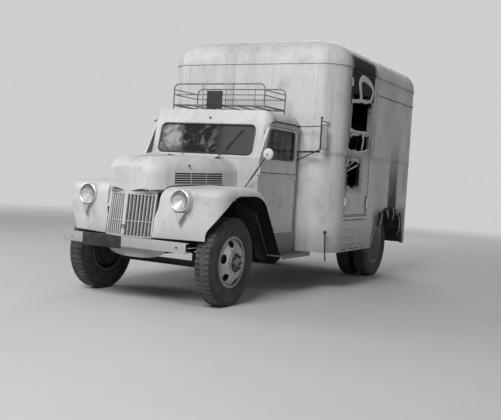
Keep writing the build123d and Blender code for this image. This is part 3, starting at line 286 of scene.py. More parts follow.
def body_paint(name, shade=1.0, centre=None, inside=None, scars=False):
    """Pale paint with streaks and dirt, darker towards the bottom, rusty chips and, on the box, soot round the damage.
    Where a centre is given, faces that look towards it have the inside's colour: soot in the box, a darker grey in
    the cab, and painted shade under the fenders and the hood and in the running boards' recess. What shows through
    the front wheel openings is painted shade as well."""
    c = colours()
    finish = Finish(name, Metallic=0.0, Coat_Weight=0.0, IOR=1.32)
    x, y, z = finish.x, finish.y, finish.z
    cloud = finish.noise(1.6, 4)
    fine = finish.noise(14, 4, shift=(3, 1, 2))
    streak = finish.noise(6, 5, stretch=(1, 1, 0.09))
    blotch = finish.noise(3.4, 6, 0.62, shift=(2, 8, 4))
    paint = finish.blend(cloud.rise(0.35, 0.75), [shade * v for v in c.paint], [shade * 0.84 * v for v in c.paint])
    # Darker towards the bottom, broken up by a fine noise
    low = z.fall(0.42, 0.95) * (0.25 + 0.5 * fine)
    grime = (streak.rise(0.48, 0.78) * 0.34).either(low).either(fine.rise(0.55, 0.80) * 0.30)
    grime = grime.either(blotch.rise(0.48, 0.76) * 0.34)
    chips = finish.noise(26, 5, 0.65, shift=(7, 2, 5)).rise(0.70, 0.75) * z.fall(0.6, 2.2)
    surface = finish.blend(chips * 0.6, finish.blend(grime, paint, c.dirt), c.rust)
    rough = 0.44 + 0.35 * grime
    height = 0.6 * cloud + 0.08 * fine
    if scars:
        # Soot on the left wall: above the rear wheels, round their arch, round the door's window and over the roof
        left = x.rise(1.0, 1.14)
        ragged = 0.55 + 0.9 * finish.noise(6, 5, 0.6, shift=(1, 9, 4))
        column = y.near(1.94, 0.14, 0.10) * z.fall(1.10, 2.20) * z.rise(0.88, 0.98)
        arch = y.near(1.87, 0.60, 0.18) * z.fall(0.86, 1.12) * 0.72
        window = y.near(0.46, 0.38, 0.08) * z.near(2.58, 0.19, 0.08) * 1.10
        around = y.near(0.48, 0.42, 0.22) * z.near(2.30, 0.45, 0.22) * 0.40
        lower = y.near(0.30, 0.24, 0.14) * z.near(1.48, 0.18, 0.10) * 0.42
        roof = y.near(0.48, 0.34, 0.22) * z.near(2.86, 0.07, 0.07) * 0.95
        side = (column * 0.92).either(arch).either(window).either(around).either(lower)
        burnt = (left * side * ragged).either(x.rise(0.90, 1.06) * roof * (0.6 + 0.5 * ragged))
        marks = finish.spots(7.0, 0.011, 0.005, shift=(0.4, 0.2, 0.1))
        marks = marks * y.near(0.62, 0.26, 0.08) * z.near(1.50, 0.45, 0.15)
        burnt = burnt.either(marks * left * fine.rise(0.40, 0.55))
        # The charred sheet over the door's two openings, with an edge that a noise moves in and out
        edge = 0.10 * (finish.noise(9, 5, 0.65, shift=(6, 3, 2)) - 0.5)
        black = abs(y + edge - 0.45).fall(0.35, 0.37) * abs(z + edge - 2.54).fall(0.13, 0.15)
        black = black.either(abs(y - edge - 0.29).fall(0.22, 0.24) * abs(z + edge - 1.475).fall(0.145, 0.165))
        burnt = burnt.either(black * left)
        surface = finish.blend(burnt.capped(1.0), surface, c.soot)
        rough = rough + 0.3 * burnt
        height = height - 0.5 * burnt
    # Painted shade: what shows through the front wheel openings, the sheet of the cowl and boards before a slanting
    # line, is painted black
    wheel_well_shade = (1.234 - 1.375 * (y + 1.640) - z).rise(0.0, 0.012) * z.fall(1.140, 1.160) * y.rise(-2.54, -2.52)
    surface = finish.blend(wheel_well_shade * abs(x).fall(0.800, 0.808), surface, grey(0.015))
    if centre is not None:
        # Faces that look towards the centre take the inner colour: soot in the box, a darker grey in the cab, and
        # painted shade under the fenders and the hood and in the running boards' recess
        normal = finish.add("ShaderNodeTexCoord", output="Normal")
        offset = finish.add("ShaderNodeVectorMath", {"operation": "SUBTRACT"}, [finish.place, centre])
        facing = finish.add("ShaderNodeVectorMath", {"operation": "DOT_PRODUCT"}, [normal, offset], output="Value")
        lining = finish.blend(blotch, inside, [1.8 * v for v in inside])
        surface = finish.blend(facing.fall(-0.004, 0.004), surface, lining)
    finish.feed(Base_Color=surface, Roughness=rough.capped(1.0), Normal=finish.bump(height, 0.004, 0.5))
    return finish.material


def dusty(name, base, dust, amount, scale=6.0, roughness=0.75):
    """A dark part with dust in the hollows of a cloudy noise."""
    finish = Finish(name, Metallic=0.0)
    cloud = finish.noise(scale, 5, 0.6)
    fine = finish.noise(scale * 9, 4, 0.6, shift=(2, 4, 6))
    mask = cloud.rise(0.40, 0.72) * amount + fine.rise(0.55, 0.8) * (0.35 * amount)
    finish.feed(
        Base_Color=finish.blend(mask, base, dust), Roughness=roughness + 0.2 * fine - 0.1,
        Normal=finish.bump(0.5 * cloud + 0.5 * fine, 0.002, 0.6),
    )
    return finish.material


def from_axle(finish):
    """Distance from the nearer axle, seen from the side: the root of the two squares, where the place along is
    taken from the middle between the axles, less half the wheelbase."""
    along = abs(finish.y - (REAR_AXLE[0] + FRONT_AXLE[0]) / 2) - (REAR_AXLE[0] - FRONT_AXLE[0]) / 2
    up = finish.z - TYRE_RADIUS
    return (along * along + up * up) ** 0.5


def wheel_paint(name, behind=True):
    """Pale wheel paint, dark and greasy round the hub and, on the solids, painted shade on everything behind the outer
    rim's middle."""
    finish = Finish(name, Metallic=0.0)
    cloud = finish.noise(11, 5, 0.6)
    grease = finish.noise(42, 4, 0.6, shift=(3, 5, 1))
    radius = from_axle(finish)
    hub = radius.fall(0.094, 0.104) * (0.55 + 0.6 * grease.rise(0.35, 0.62))
    edge = radius.near(0.246, 0.006, 0.004) * 0.35
    # Painted shade: everything behind the outer rim's middle is painted dark
    painted_shade_behind = (abs(finish.x) - 0.048 * finish.y.fall(-0.1, 0.1)).fall(0.842, 0.856)
    mask = painted_shade_behind.either(hub) if behind else hub
    dirt = (cloud.rise(0.34, 0.66) * 0.55).either(edge).either(radius.rise(0.15, 0.24) * cloud * 0.7)
    pale = finish.blend(dirt, (0.50, 0.50, 0.49), (0.16, 0.157, 0.150))
    dark = finish.blend(grease * 0.5, (0.035, 0.034, 0.033), (0.10, 0.097, 0.092))
    finish.feed(
        Base_Color=finish.blend(mask.capped(0.92), pale, dark),
        Roughness=0.5 + 0.25 * cloud, Normal=finish.bump(cloud + 0.3 * grease, 0.002, 0.5),
    )
    return finish.material


def lamp_paint(name):
    """The lamps' pale shells; inside the ring the bowl is bright metal with a crescent of painted shadow on its upper
    left-hand side, where a circle drawn low on the other side doesn't reach."""
    c = colours()
    finish = Finish(name)
    x, z = finish.x, finish.z
    across = x - LAMP[0] * x.maths("SIGN", x)
    up = z - LAMP[2]
    bowl = ((across * across + up * up) ** 0.5).fall(0.095, 0.096) * finish.y.fall(-2.612, -2.606)
    # Painted shadow: the bowl is dark where a circle drawn low on the other side doesn't reach
    off_x, off_z = across + 0.030, up + 0.024
    painted_crescent_shadow = ((off_x * off_x + off_z * off_z) ** 0.5).rise(0.070, 0.082)
    cloud = finish.noise(26, 5, 0.6)
    worn = finish.blend(cloud.rise(0.45, 0.7) * 0.5, c.steel, (0.36, 0.36, 0.355))
    finish.feed(
        Base_Color=finish.blend(bowl, c.paint, finish.blend(painted_crescent_shadow, worn, grey(0.02))),
        Metallic=0.75 * bowl * (1 - painted_crescent_shadow),
        Roughness=0.42 - 0.12 * bowl + 0.15 * cloud, Normal=finish.bump(cloud, 0.0008, 0.4),
    )
    return finish.material


def rubber(name):
    """Weathered tyre rubber: dust lies on the tread and in faint rings on the walls."""
    c = colours()
    finish = Finish(name, Metallic=0.0)
    cloud = finish.noise(9, 5, 0.6)
    fine = finish.noise(90, 4, 0.6)
    radius = from_axle(finish)
    rings = (1 - radius.near(0.392, 0.002, 0.005)) * radius.near(0.392, 0.012, 0.006)
    dust = cloud.rise(0.35, 0.75) * 0.40 + radius.rise(0.456, 0.464) * 0.42 + rings * 0.10
    finish.feed(
        Base_Color=finish.blend(dust, c.rubber, (0.125, 0.123, 0.120)), Roughness=0.80 + 0.15 * fine,
        Normal=finish.bump(fine, 0.0012, 0.5),
    )
    return finish.material


def window_glass(name):
    """Dark glass under a pale film that is partly dust and partly painted reflection. On the windscreen the film is
    blotchy and pale on the truck's right, leafy and dark in the middle and even on its left; on the door windows it
    stands in upright streaks."""
    c = colours()
    finish = Finish(name, Metallic=0.0, IOR=1.45, Specular_IOR_Level=0.4)
    x, y, z = finish.x, finish.y, finish.z
    # Painted reflection: the leafy and blotchy pale patches on the glass, over a film of dust
    leaf_reflection = finish.noise(10, 6, 0.66, distortion=0.9)
    blots = finish.noise(6, 5, 0.62, shift=(4, 2, 7))
    pale = x.fall(-0.37, -0.30)
    even = x.rise(0.10, 0.28)
    screen = pale * (0.24 + 0.62 * blots.rise(0.42, 0.58))
    screen = screen.either((1 - pale.either(even)) * leaf_reflection.rise(0.49, 0.66) * 0.30).either(even * 0.155)
    front = y.fall(-1.20, -1.16) * abs(x).fall(0.72, 0.74)
    sides = (y.near(-0.865, 0.012, 0.014) * 0.16).either(y.near(-0.985, 0.075, 0.05) * 0.075)
    sides = sides.either(y.near(-0.690, 0.045, 0.03) * z.fall(1.70, 1.86) * blots * 0.30)
    sides = sides.either(leaf_reflection.rise(0.55, 0.75) * 0.05)
    film = (front * screen).either((1 - front) * sides)
    finish.feed(
        Base_Color=finish.blend(film, c.glass, c.film), Roughness=0.10 + 0.4 * film, Alpha=0.90 + 0.09 * blots,
    )
    return finish.material


def lamp_glass(name):
    """Clear moulded lens with upright flutes."""
    finish = Finish(name, Metallic=0.0, Roughness=0.06, IOR=1.5)
    flutes = finish.add(
        "ShaderNodeTexWave", {"wave_type": "BANDS", "bands_direction": "X"},
        {"Vector": finish.place, "Scale": 26.0, "Distortion": 0.0}, output="Fac",
    )
    dust = finish.noise(20, 4).rise(0.45, 0.75)
    finish.feed(
        Base_Color=finish.blend(dust, (0.80, 0.82, 0.82), (0.62, 0.61, 0.58)), Alpha=0.10 + 0.12 * dust,
        Normal=finish.bump(flutes, 0.001, 0.3),
    )
    return finish.material


def metal(name, base, roughness=0.28, wear=0.5):
    """Dulled bright metal with fine scratches."""
    finish = Finish(name, Metallic=1.0)
    cloud = finish.noise(12, 5, 0.6)
    scratch = finish.noise(60, 4, stretch=(1, 0.15, 1))
    finish.feed(
        Base_Color=finish.blend(cloud.rise(0.5, 0.8) * wear, base, [0.45 * v for v in base]),
        Roughness=roughness + 0.35 * wear * cloud, Normal=finish.bump(scratch, 0.0006, 0.5),
    )
    return finish.material


def leather(name):
    """Worn seat leather: fine grain, cracks and shine where people sat."""
    c = colours()
    finish = Finish(name, Metallic=0.0)
    grain = finish.add("ShaderNodeTexVoronoi", {}, {"Vector": finish.place, "Scale": 260.0}, output="Distance")
    worn = finish.noise(5, 4).rise(0.45, 0.70)
    crack = finish.noise(38, 6, 0.7, stretch=(1, 0.4, 1)).near(0.5, 0.006, 0.012)
    cover = finish.blend(worn * 0.5, c.seat, (0.16, 0.13, 0.10))
    finish.feed(
        Base_Color=finish.blend(crack * 0.7, cover, (0.02, 0.015, 0.012)), Roughness=0.62 - 0.2 * worn,
        Normal=finish.bump(grain - crack, 0.001, 0.6),
    )
    return finish.material


BOARD_WIDTH = 0.14


def floor_boards(name):
    """Boards that run along the truck: a dark joint at every board's width across and grain along them."""
    c = colours()
    finish = Finish(name, Metallic=0.0)
    board = finish.x / BOARD_WIDTH
    joint = board.maths("FRACT", board).near(0.5, 0.47, 0.02)
    grain = finish.noise(30, 6, 0.6, stretch=(1, 0.05, 1))
    dirt = finish.noise(2.4, 5).rise(0.40, 0.70)
    wood = finish.blend(grain.rise(0.3, 0.7), c.boards, [0.55 * v for v in c.boards])
    dirty = finish.blend(dirt * 0.65, wood, (0.06, 0.055, 0.05))
    finish.feed(
        Base_Color=finish.blend(1 - joint, dirty, (0.012, 0.01, 0.009)), Roughness=0.75 + 0.15 * grain,
        Normal=finish.bump(joint + 0.2 * grain, 0.002, 0.7),
    )
    return finish.material


def make_finishes():
    """Every material by the record's slot, with a few more for the insides and the dressing alone."""
    c = colours()
    painted = {
        "body_paint": {},
        "torn_metal": {},
        "bumper_paint": {"shade": 0.86},
        # Inner colours: soot in the box, a darker grey in the cab, and painted shade under the fenders and the hood and
        # in the running boards' recess
        "box_paint": {"centre": (0.0, 1.2, 1.8), "inside": (0.045, 0.044, 0.042), "scars": True},
        "cab_paint": {"centre": (0.0, -0.95, 1.35), "inside": grey(0.11)},
        "fender_paint_left": {"centre": (0.8, -1.9, 0.5), "inside": grey(0.012)},
        "fender_paint_right": {"centre": (-0.8, -1.9, 0.5), "inside": grey(0.012)},
        "hood_paint": {"centre": (0.0, -2.1, 1.15), "inside": grey(0.012)},
        "board_paint": {"shade": 0.52, "centre": (0.0, -0.7, 0.56), "inside": grey(0.02)},
    }
    # The part's own colour, the dust's, how much of it, the noise's scale and the roughness
    dark = {
        "underside_paint": (c.underside, (0.085, 0.083, 0.080), 0.45),
        "rack_paint": (grey(0.13), (0.34, 0.34, 0.335), 0.6, 14, 0.5),
        "sign_paint": (c.plate, grey(0.09), 0.30, 9, 0.45),
        "mirror_black": ((0.018, 0.018, 0.019), grey(0.08), 0.3, 18, 0.45),
        "engine_iron": ((0.030, 0.030, 0.029), (0.085, 0.080, 0.072), 0.5, 8, 0.7),
        "exhaust_steel": ((0.050, 0.042, 0.036), (0.12, 0.11, 0.10), 0.6, 10, 0.8),
        "spring_steel": ((0.028, 0.026, 0.025), (0.085, 0.080, 0.073), 0.6, 12, 0.8),
        "black_plastic": (grey(0.012), grey(0.07), 0.3, 22, 0.4),
        # Painted shade: the near black for gaps, creases, holes and the sheets behind the louvres and the grille
        "gap_black": (grey(0.008), grey(0.02), 0.3, 8, 0.9),
        "scorched_metal": ((0.30, 0.30, 0.295), c.soot, 0.8, 9, 0.7),
        "burnt_metal": (c.soot, (0.20, 0.195, 0.19), 0.45, 16, 0.85),
        "red_lens": ((0.20, 0.012, 0.010), (0.10, 0.05, 0.045), 0.4, 20, 0.25),
    }
    own = {
        "wheel_paint": wheel_paint, "lamp_metal": lamp_paint, "lamp_glass": lamp_glass, "window_glass": window_glass,
        "seat_cover": leather, "floor_wood": floor_boards, "tyre_rubber": rubber,
    }
    return {
        **{name: body_paint(name, **values) for name, values in painted.items()},
        **{name: dusty(name, *values) for name, values in dark.items()},
        **{name: maker(name) for name, maker in own.items()},
        "wheel_face": wheel_paint("wheel_face", behind=False),
        "bright_metal": metal("bright_metal", c.steel),
        "mirror_glass": metal("mirror_glass", (0.66, 0.67, 0.68), 0.05, 0.2),
    }


# Solids whose finish has an inside of its own; the others have their slot's
NODE_FINISHES = {
    **dict.fromkeys(
        ("box_front_wall", "box_left_wall", "box_right_wall", "box_rear_wall", "box_roof", "side_door", "step_flap",
         "rear_door_left", "rear_door_right"), "box_paint",
    ),
    **dict.fromkeys(("cab_cowl", "cab_back", "cab_roof", "cab_door_left", "cab_door_right"), "cab_paint"),
    "fender_left": "fender_paint_left", "fender_right": "fender_paint_right", "hood": "hood_paint",
    "running_boards": "board_paint",
}


# Surfaces


def smooth_line(points, steps=8):
    """A line through the points: between each pair, the Catmull-Rom cubic of them and their neighbours."""
    p = np.asarray(points, float)
    q = np.vstack([2 * p[0] - p[1], p, 2 * p[-1] - p[-2]])
    t = np.linspace(0, 1, steps, endpoint=False)[:, None, None]
    a, b, c, d = q[:-3], q[1:-2], q[2:-1], q[3:]
    curve = 0.5 * (2 * b + (c - a) * t + (2 * a - 5 * b + 4 * c - d) * t**2 + (3 * b - a - 3 * c + d) * t**3)
    return np.vstack([curve.transpose(1, 0, 2).reshape(-1, p.shape[1]), p[-1]])


def unit(vectors):
    """Each vector divided by its length."""
    vectors = np.asarray(vectors, float)
    return vectors / np.linalg.norm(vectors, axis=-1, keepdims=True)


def ring_of(count, radius_x, radius_y=None):
    """A round or oval section: cosines and sines of equal angles times the two radii."""
    angle = np.linspace(0, 2 * np.pi, count, endpoint=False)
    return np.stack([radius_x * np.cos(angle), (radius_y or radius_x) * np.sin(angle)], -1)


def straight(start, end, count, first=0.0, last=1.0):
    """Points on the line between two places, from one share of the way to another."""
    start, end = np.asarray(start, float), np.asarray(end, float)
    return start + (end - start) * np.linspace(first, last, count)[:, None]


def stub(start, radius, shoulder, end, tip):
    """A stub's profile for turning: straight from its start to its shoulder, then narrowed to its tip's radius."""
    return [(start, 0), (start, radius), (shoulder, radius), (end, tip), (end, 0)]


def rounded_section(width, height, radius, corner_steps=3):
    """A rectangle's outline with each corner swept by a quarter circle."""
    quarter = np.linspace(0, np.pi / 2, corner_steps)
    angles = np.concatenate([quarter + k * np.pi / 2 for k in range(4)])
    corner_x = np.repeat([1, -1, -1, 1], corner_steps) * (width / 2 - radius)
    corner_y = np.repeat([1, 1, -1, -1], corner_steps) * (height / 2 - radius)
    return np.stack([corner_x + radius * np.cos(angles), corner_y + radius * np.sin(angles)], -1)


class Shape:
    """Points and four-sided faces gathered from several surfaces of one piece."""

    def __init__(self):
        self.points = []
        self.faces = []
        self.total = 0

    def grid(self, points, close_rows=False, close_columns=False):
        """Adds a grid of points with a face between each four neighbours; a closed way joins its ends."""
        points = np.asarray(points, float)
        rows, columns = points.shape[:2]
        index = self.total + np.arange(rows * columns).reshape(rows, columns)
        if close_rows:
            index = np.concatenate([index, index[:1]], 0)
        if close_columns:
            index = np.concatenate([index, index[:, :1]], 1)
        faces = np.stack([index[:-1, :-1], index[1:, :-1], index[1:, 1:], index[:-1, 1:]], -1)
        self.points.append(points.reshape(-1, 3))
        self.faces.append(faces.reshape(-1, 4))
        self.total += rows * columns
        return self

    def shell(self, outer, inner):
        """A thin sheet between two grids of points, closed along both of their long sides."""
        return self.grid(np.concatenate([outer, inner[:, ::-1]], 1), close_columns=True)

    def sweep(self, path, section, reference=(0, 0, 1), scale=1.0, closed=False):
        """Carries a section along a path: each point is the path's, plus the section's two parts times the
        side (reference x tangent) and the rise (tangent x side). Open ends are closed to their middles."""
        path = np.asarray(path, float)
        if closed:
            tangent = unit(np.roll(path, -1, 0) - np.roll(path, 1, 0))
        else:
            tangent = unit(np.gradient(path, axis=0))
        side = unit(np.cross(np.broadcast_to(reference, path.shape), tangent))
        rise = np.cross(tangent, side)
        scale = np.broadcast_to(scale, len(path))[:, None, None]
        section = np.asarray(section, float)[None] * scale
        rings = path[:, None] + section[..., :1] * side[:, None] + section[..., 1:] * rise[:, None]
        if not closed:
            ends = [np.broadcast_to(path[k], rings[k].shape)[None] for k in (0, -1)]
            rings = np.concatenate([ends[0], rings, ends[1]], 0)
        return self.grid(rings, close_rows=closed, close_columns=True)

    def tube(self, path, radius, sides=12, reference=(0, 0, 1)):
        """A round bar along a path."""
        return self.sweep(path, ring_of(sides, radius), reference)

    def bar(self, start, end, section, reference=(0, 0, 1), bevel=0.1):
        """A straight bar with a section that shrinks by the bevel's share at both ends."""
        start, end = np.asarray(start, float), np.asarray(end, float)
        lift = unit(end - start) * bevel * np.ptp(np.asarray(section)[:, 0]) / 2
        path = [start, start + lift, end - lift, end]
        return self.sweep(path, section, reference, [1 - bevel, 1, 1, 1 - bevel])

    def turned(self, profile, centre, axis, count=32, closed=False):
        """Turns a profile of (along, radius) pairs about an axis: cosine and sine of the angle times the radius."""
        axis = unit(axis)
        across = unit(np.cross(axis, (0, 0, 1) if abs(axis[2]) < 0.9 else (1, 0, 0)))
        other = np.cross(axis, across)
        angle = np.linspace(0, 2 * np.pi, count, endpoint=False)[:, None, None]
        along, radius = (np.asarray(profile, float)[None, :, k, None] for k in (0, 1))
        points = np.asarray(centre, float) + along * axis + radius * (np.cos(angle) * across + np.sin(angle) * other)
        return self.grid(points, close_rows=True, close_columns=closed)

    def block(self, centre, size, bevel, turn=None):
        """A box with rounded edges: outlines inset by bevel x (1 - sine) at heights of bevel x (1 - cosine)."""
        angle = np.linspace(0, np.pi / 2, 4)
        inset = bevel * (1 - np.sin(angle))
        lift = bevel * (1 - np.cos(angle))
        insets = np.concatenate([inset, inset[::-1]])
        heights = np.concatenate([lift - size[2] / 2, (size[2] / 2 - lift)[::-1]])
        outlines = []
        for draw_in, height in zip(insets, heights):
            outline = rounded_section(size[0] - 2 * draw_in, size[1] - 2 * draw_in, max(bevel - draw_in, 1e-4), 4)
            outlines.append(np.column_stack([outline, np.full(len(outline), height)]))
        rings = np.array(outlines)
        ends = [np.broadcast_to((0, 0, height), rings[0].shape)[None] for height in (heights[0], heights[-1])]
        rings = np.concatenate([ends[0], rings, ends[1]], 0)
        if turn is not None:
            rings = rings @ np.asarray(turn, float).T
        return self.grid(rings + np.asarray(centre, float), close_columns=True)

    def domes(self, places, normals, radius, height):
        """Rivet heads: on each place a dome of three rings and its top, all worked out as one array."""
        places, normals = np.atleast_2d(places).astype(float), unit(np.atleast_2d(normals))
        helper = np.where(np.abs(normals[:, 2:]) < 0.9, [[0.0, 0.0, 1.0]], [[1.0, 0.0, 0.0]])
        across = unit(np.cross(normals, helper))
        other = np.cross(normals, across)
        turn = np.linspace(0, 2 * np.pi, 8, endpoint=False)
        level = np.linspace(0, np.pi / 2, 4)
        spread = radius * np.cos(level)
        lift = height * np.sin(level)
        rim = across[:, None] * np.cos(turn)[None, :, None] + other[:, None] * np.sin(turn)[None, :, None]
        points = (
            places[:, None, None]
            + rim[:, :, None] * spread[None, None, :, None]
            + normals[:, None, None] * lift[None, None, :, None]
        )
        for dome in points:
            self.grid(dome, close_rows=True)
        return self


FINISHES = {}
MERGE_DISTANCE = 2e-5


def make_piece(name, shape, finish, body, slot=None, edge=38.0, replaces=()):
    """Turns a shape into a mesh object that rides on a body: doubles merged, faces outwards, edges kept crisp."""
    points = np.concatenate(shape.points)
    faces = np.concatenate(shape.faces)
    mesh = bpy.data.meshes.new(name)
    mesh.vertices.add(len(points))
    mesh.vertices.foreach_set("co", points.astype(np.float32).ravel())
    mesh.loops.add(faces.size)
    mesh.loops.foreach_set("vertex_index", faces.astype(np.int32).ravel())
    mesh.polygons.add(len(faces))
    mesh.polygons.foreach_set("loop_start", np.arange(0, faces.size, 4, dtype=np.int32))
    mesh.update(calc_edges=True)
    cleaner = bmesh.new()
    cleaner.from_mesh(mesh)
    bmesh.ops.remove_doubles(cleaner, verts=cleaner.verts, dist=MERGE_DISTANCE)
    bmesh.ops.recalc_face_normals(cleaner, faces=cleaner.faces)
    cleaner.to_mesh(mesh)
    cleaner.free()
    mesh.polygons.foreach_set("use_smooth", np.ones(len(mesh.polygons), bool))
    mesh.set_sharp_from_angle(angle=np.radians(edge))
    mesh.materials.append(FINISHES[finish])
    piece = bpy.data.objects.new(name, mesh)
    bpy.context.scene.collection.objects.link(piece)
    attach(piece, body)
    slot or finish in SLOTS
    if replaces:
        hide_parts(*replaces)
    return piece


# Tyres and wheels


def tyre_points(centre, pitches, depth):
    """One tyre as a closed grid. Its section runs from bead to bead; in the tread the radius drops by the depth
    in a slot towards each shoulder, once a pitch, and by half of it along two grooves."""
    wall = smooth_line(
        [(0.079, 0.2546), (0.0825, 0.276), (0.0935, 0.300), (0.1005, 0.330), (0.1022, 0.352), (0.1005, 0.385),
         (0.0965, 0.412), (0.0905, 0.436), (0.083, 0.455), (0.0745, 0.465)], 3,
    )
    ridge = np.exp(-(((wall[:, 1] - 0.400) / 0.004) ** 2)) + np.exp(-(((wall[:, 1] - 0.312) / 0.004) ** 2))
    wall[:, 0] += 0.0016 * ridge
    half = np.array([0.066, 0.058, 0.050, 0.042, 0.034, 0.028, 0.022, 0.019, 0.016, 0.009])
    tread_x = np.concatenate([half, [0.0], -half[::-1]])
    tread = np.column_stack([tread_x, np.full(len(tread_x), TYRE_RADIUS)])
    section = np.vstack([wall, tread, wall[::-1] * (-1, 1), [(-0.04, 0.2546), (0.04, 0.2546)]])
    share = np.array([0.0, 0.36, 0.41, 0.59, 0.64])
    turn = ((np.arange(pitches)[:, None] + share).reshape(-1, 1)) * 2 * np.pi / pitches
    inside = np.tile((np.abs(share - 0.5) < 0.1).astype(float), pitches)[:, None]
    x, radius = section[None, :, 0], section[None, :, 1]
    groove = 0.5 * np.clip(1.5 - np.abs(np.abs(x) - 0.019) / 0.003, 0, 1)
    slot = inside * np.clip((np.abs(x) - 0.024) / 0.004, 0, 1)
    cut = np.maximum(groove, slot) * np.clip((radius - 0.425) / 0.022, 0, 1)
    radius = radius - depth * cut
    return np.stack(
        [centre[0] + x + 0 * turn, centre[1] + radius * np.cos(turn), centre[2] + radius * np.sin(turn)], -1
    )


def hex_nuts(shape, centre, axis_sign, face_x, circle, count, width):
    """Wheel nuts: six-sided prisms with a bevelled face on a circle, each over a short stud."""
    r = width / np.sqrt(3)
    nut = stub(-0.004, r, 0.016, 0.020, 0.84 * r)
    stud = stub(0, 0.30 * width, 0.030, 0.032, 0.24 * width)
    for angle in np.linspace(0, 2 * np.pi, count, endpoint=False):
        place = (axis_sign * face_x, centre[0] + circle * np.cos(angle), centre[1] + circle * np.sin(angle))
        shape.turned(nut, place, (axis_sign, 0, 0), 6)
        shape.turned(stud, place, (axis_sign, 0, 0), 12)


class TRUCK_OT_tyres(bpy.types.Operator):
    """Makes the six tyres with their tread and wall ridges"""
    bl_idname = "truck.tyres"
    bl_label = "Tyres"

    def execute(self, context):
        s = sizes()
        for sign, side in SIDES.items():
            pair = [sign * REAR_PAIR_X - TWIN_OFFSET, sign * REAR_PAIR_X + TWIN_OFFSET]
            for node, body, axle, places in (
                (f"tyre_front_{side}", f"wheel_front_{side}", FRONT_AXLE, [sign * FRONT_WHEEL_X]),
                (f"tyres_rear_{side}", f"wheels_rear_{side}", REAR_AXLE, pair),
            ):
                tyres = Shape()
                for x in places:
                    tyres.grid(tyre_points((x, *axle), s.tread_pitches, s.tread_depth), True, True)
                make_piece(f"{node}_dressed", tyres, "tyre_rubber", body, replaces=[node], edge=50)
        return {"FINISHED"}


# The front wheels' outer face: distance from the wheel's middle at each radius
DISC_FACE = np.array([(0.060, 0.132), (0.142, 0.132), (0.152, 0.137), (0.160, 0.1335), (0.168, 0.128), (0.190, 0.116),
                      (0.214, 0.098), (0.232, 0.081), (0.247, 0.066)])


def disc_points(sign, radius, angle):
    """Points on the front wheel's outer face at a radius and an angle about the axle."""
    radius, angle = np.broadcast_arrays(radius, angle)
    x = sign * (FRONT_WHEEL_X + np.interp(radius, DISC_FACE[:, 0], DISC_FACE[:, 1]))
    return np.stack([x, FRONT_AXLE[0] + radius * np.cos(angle), FRONT_AXLE[1] + radius * np.sin(angle)], -1)


def front_disc(sign):
    """The bulging disc with six oval hand holes: in each sixth, rings of points go over from the oval's outline to
    the sector's, and a short lip turns in round the hole."""
    shape = Shape()
    turn = np.linspace(0, 2 * np.pi, 32, endpoint=False)
    square = np.stack([np.cos(turn), np.sin(turn)], -1)
    square = square / np.abs(square).max(-1, keepdims=True)
    oval = np.stack([0.200 + 0.033 * np.cos(turn), 0.050 * np.sin(turn) / 0.200], -1)
    sector = np.stack([0.1945 + 0.0525 * square[:, 0], np.pi / 6 * square[:, 1]], -1)
    share = np.linspace(0, 1, 7)[:, None, None]
    rings = oval + (sector - oval) * share
    for k in range(6):
        face = disc_points(sign, rings[..., 0], rings[..., 1] + np.radians(47) + k * np.pi / 3)
        lip = face[:1] - (sign * 0.012, 0, 0)
        shape.grid(np.concatenate([lip, face], 0), close_columns=True)
    radius = np.linspace(0.060, 0.142, 7)[:, None]
    shape.grid(disc_points(sign, radius, np.linspace(0, 2 * np.pi, 96, endpoint=False)[None]), close_columns=True)
    middle, outward = (sign * FRONT_WHEEL_X, *FRONT_AXLE), (sign, 0, 0)
    shape.turned([(0.066, 0.247), (0.060, 0.2475), (0.060, 0.244), (0.063, 0.244)], middle, outward, 72, closed=True)
    shape.turned([(0.128, 0.060), (0.140, 0.0615), (0.146, 0.054), (0.170, 0.048), (0.178, 0.038), (0.178, 0)], middle,
                 outward, 48)
    return shape


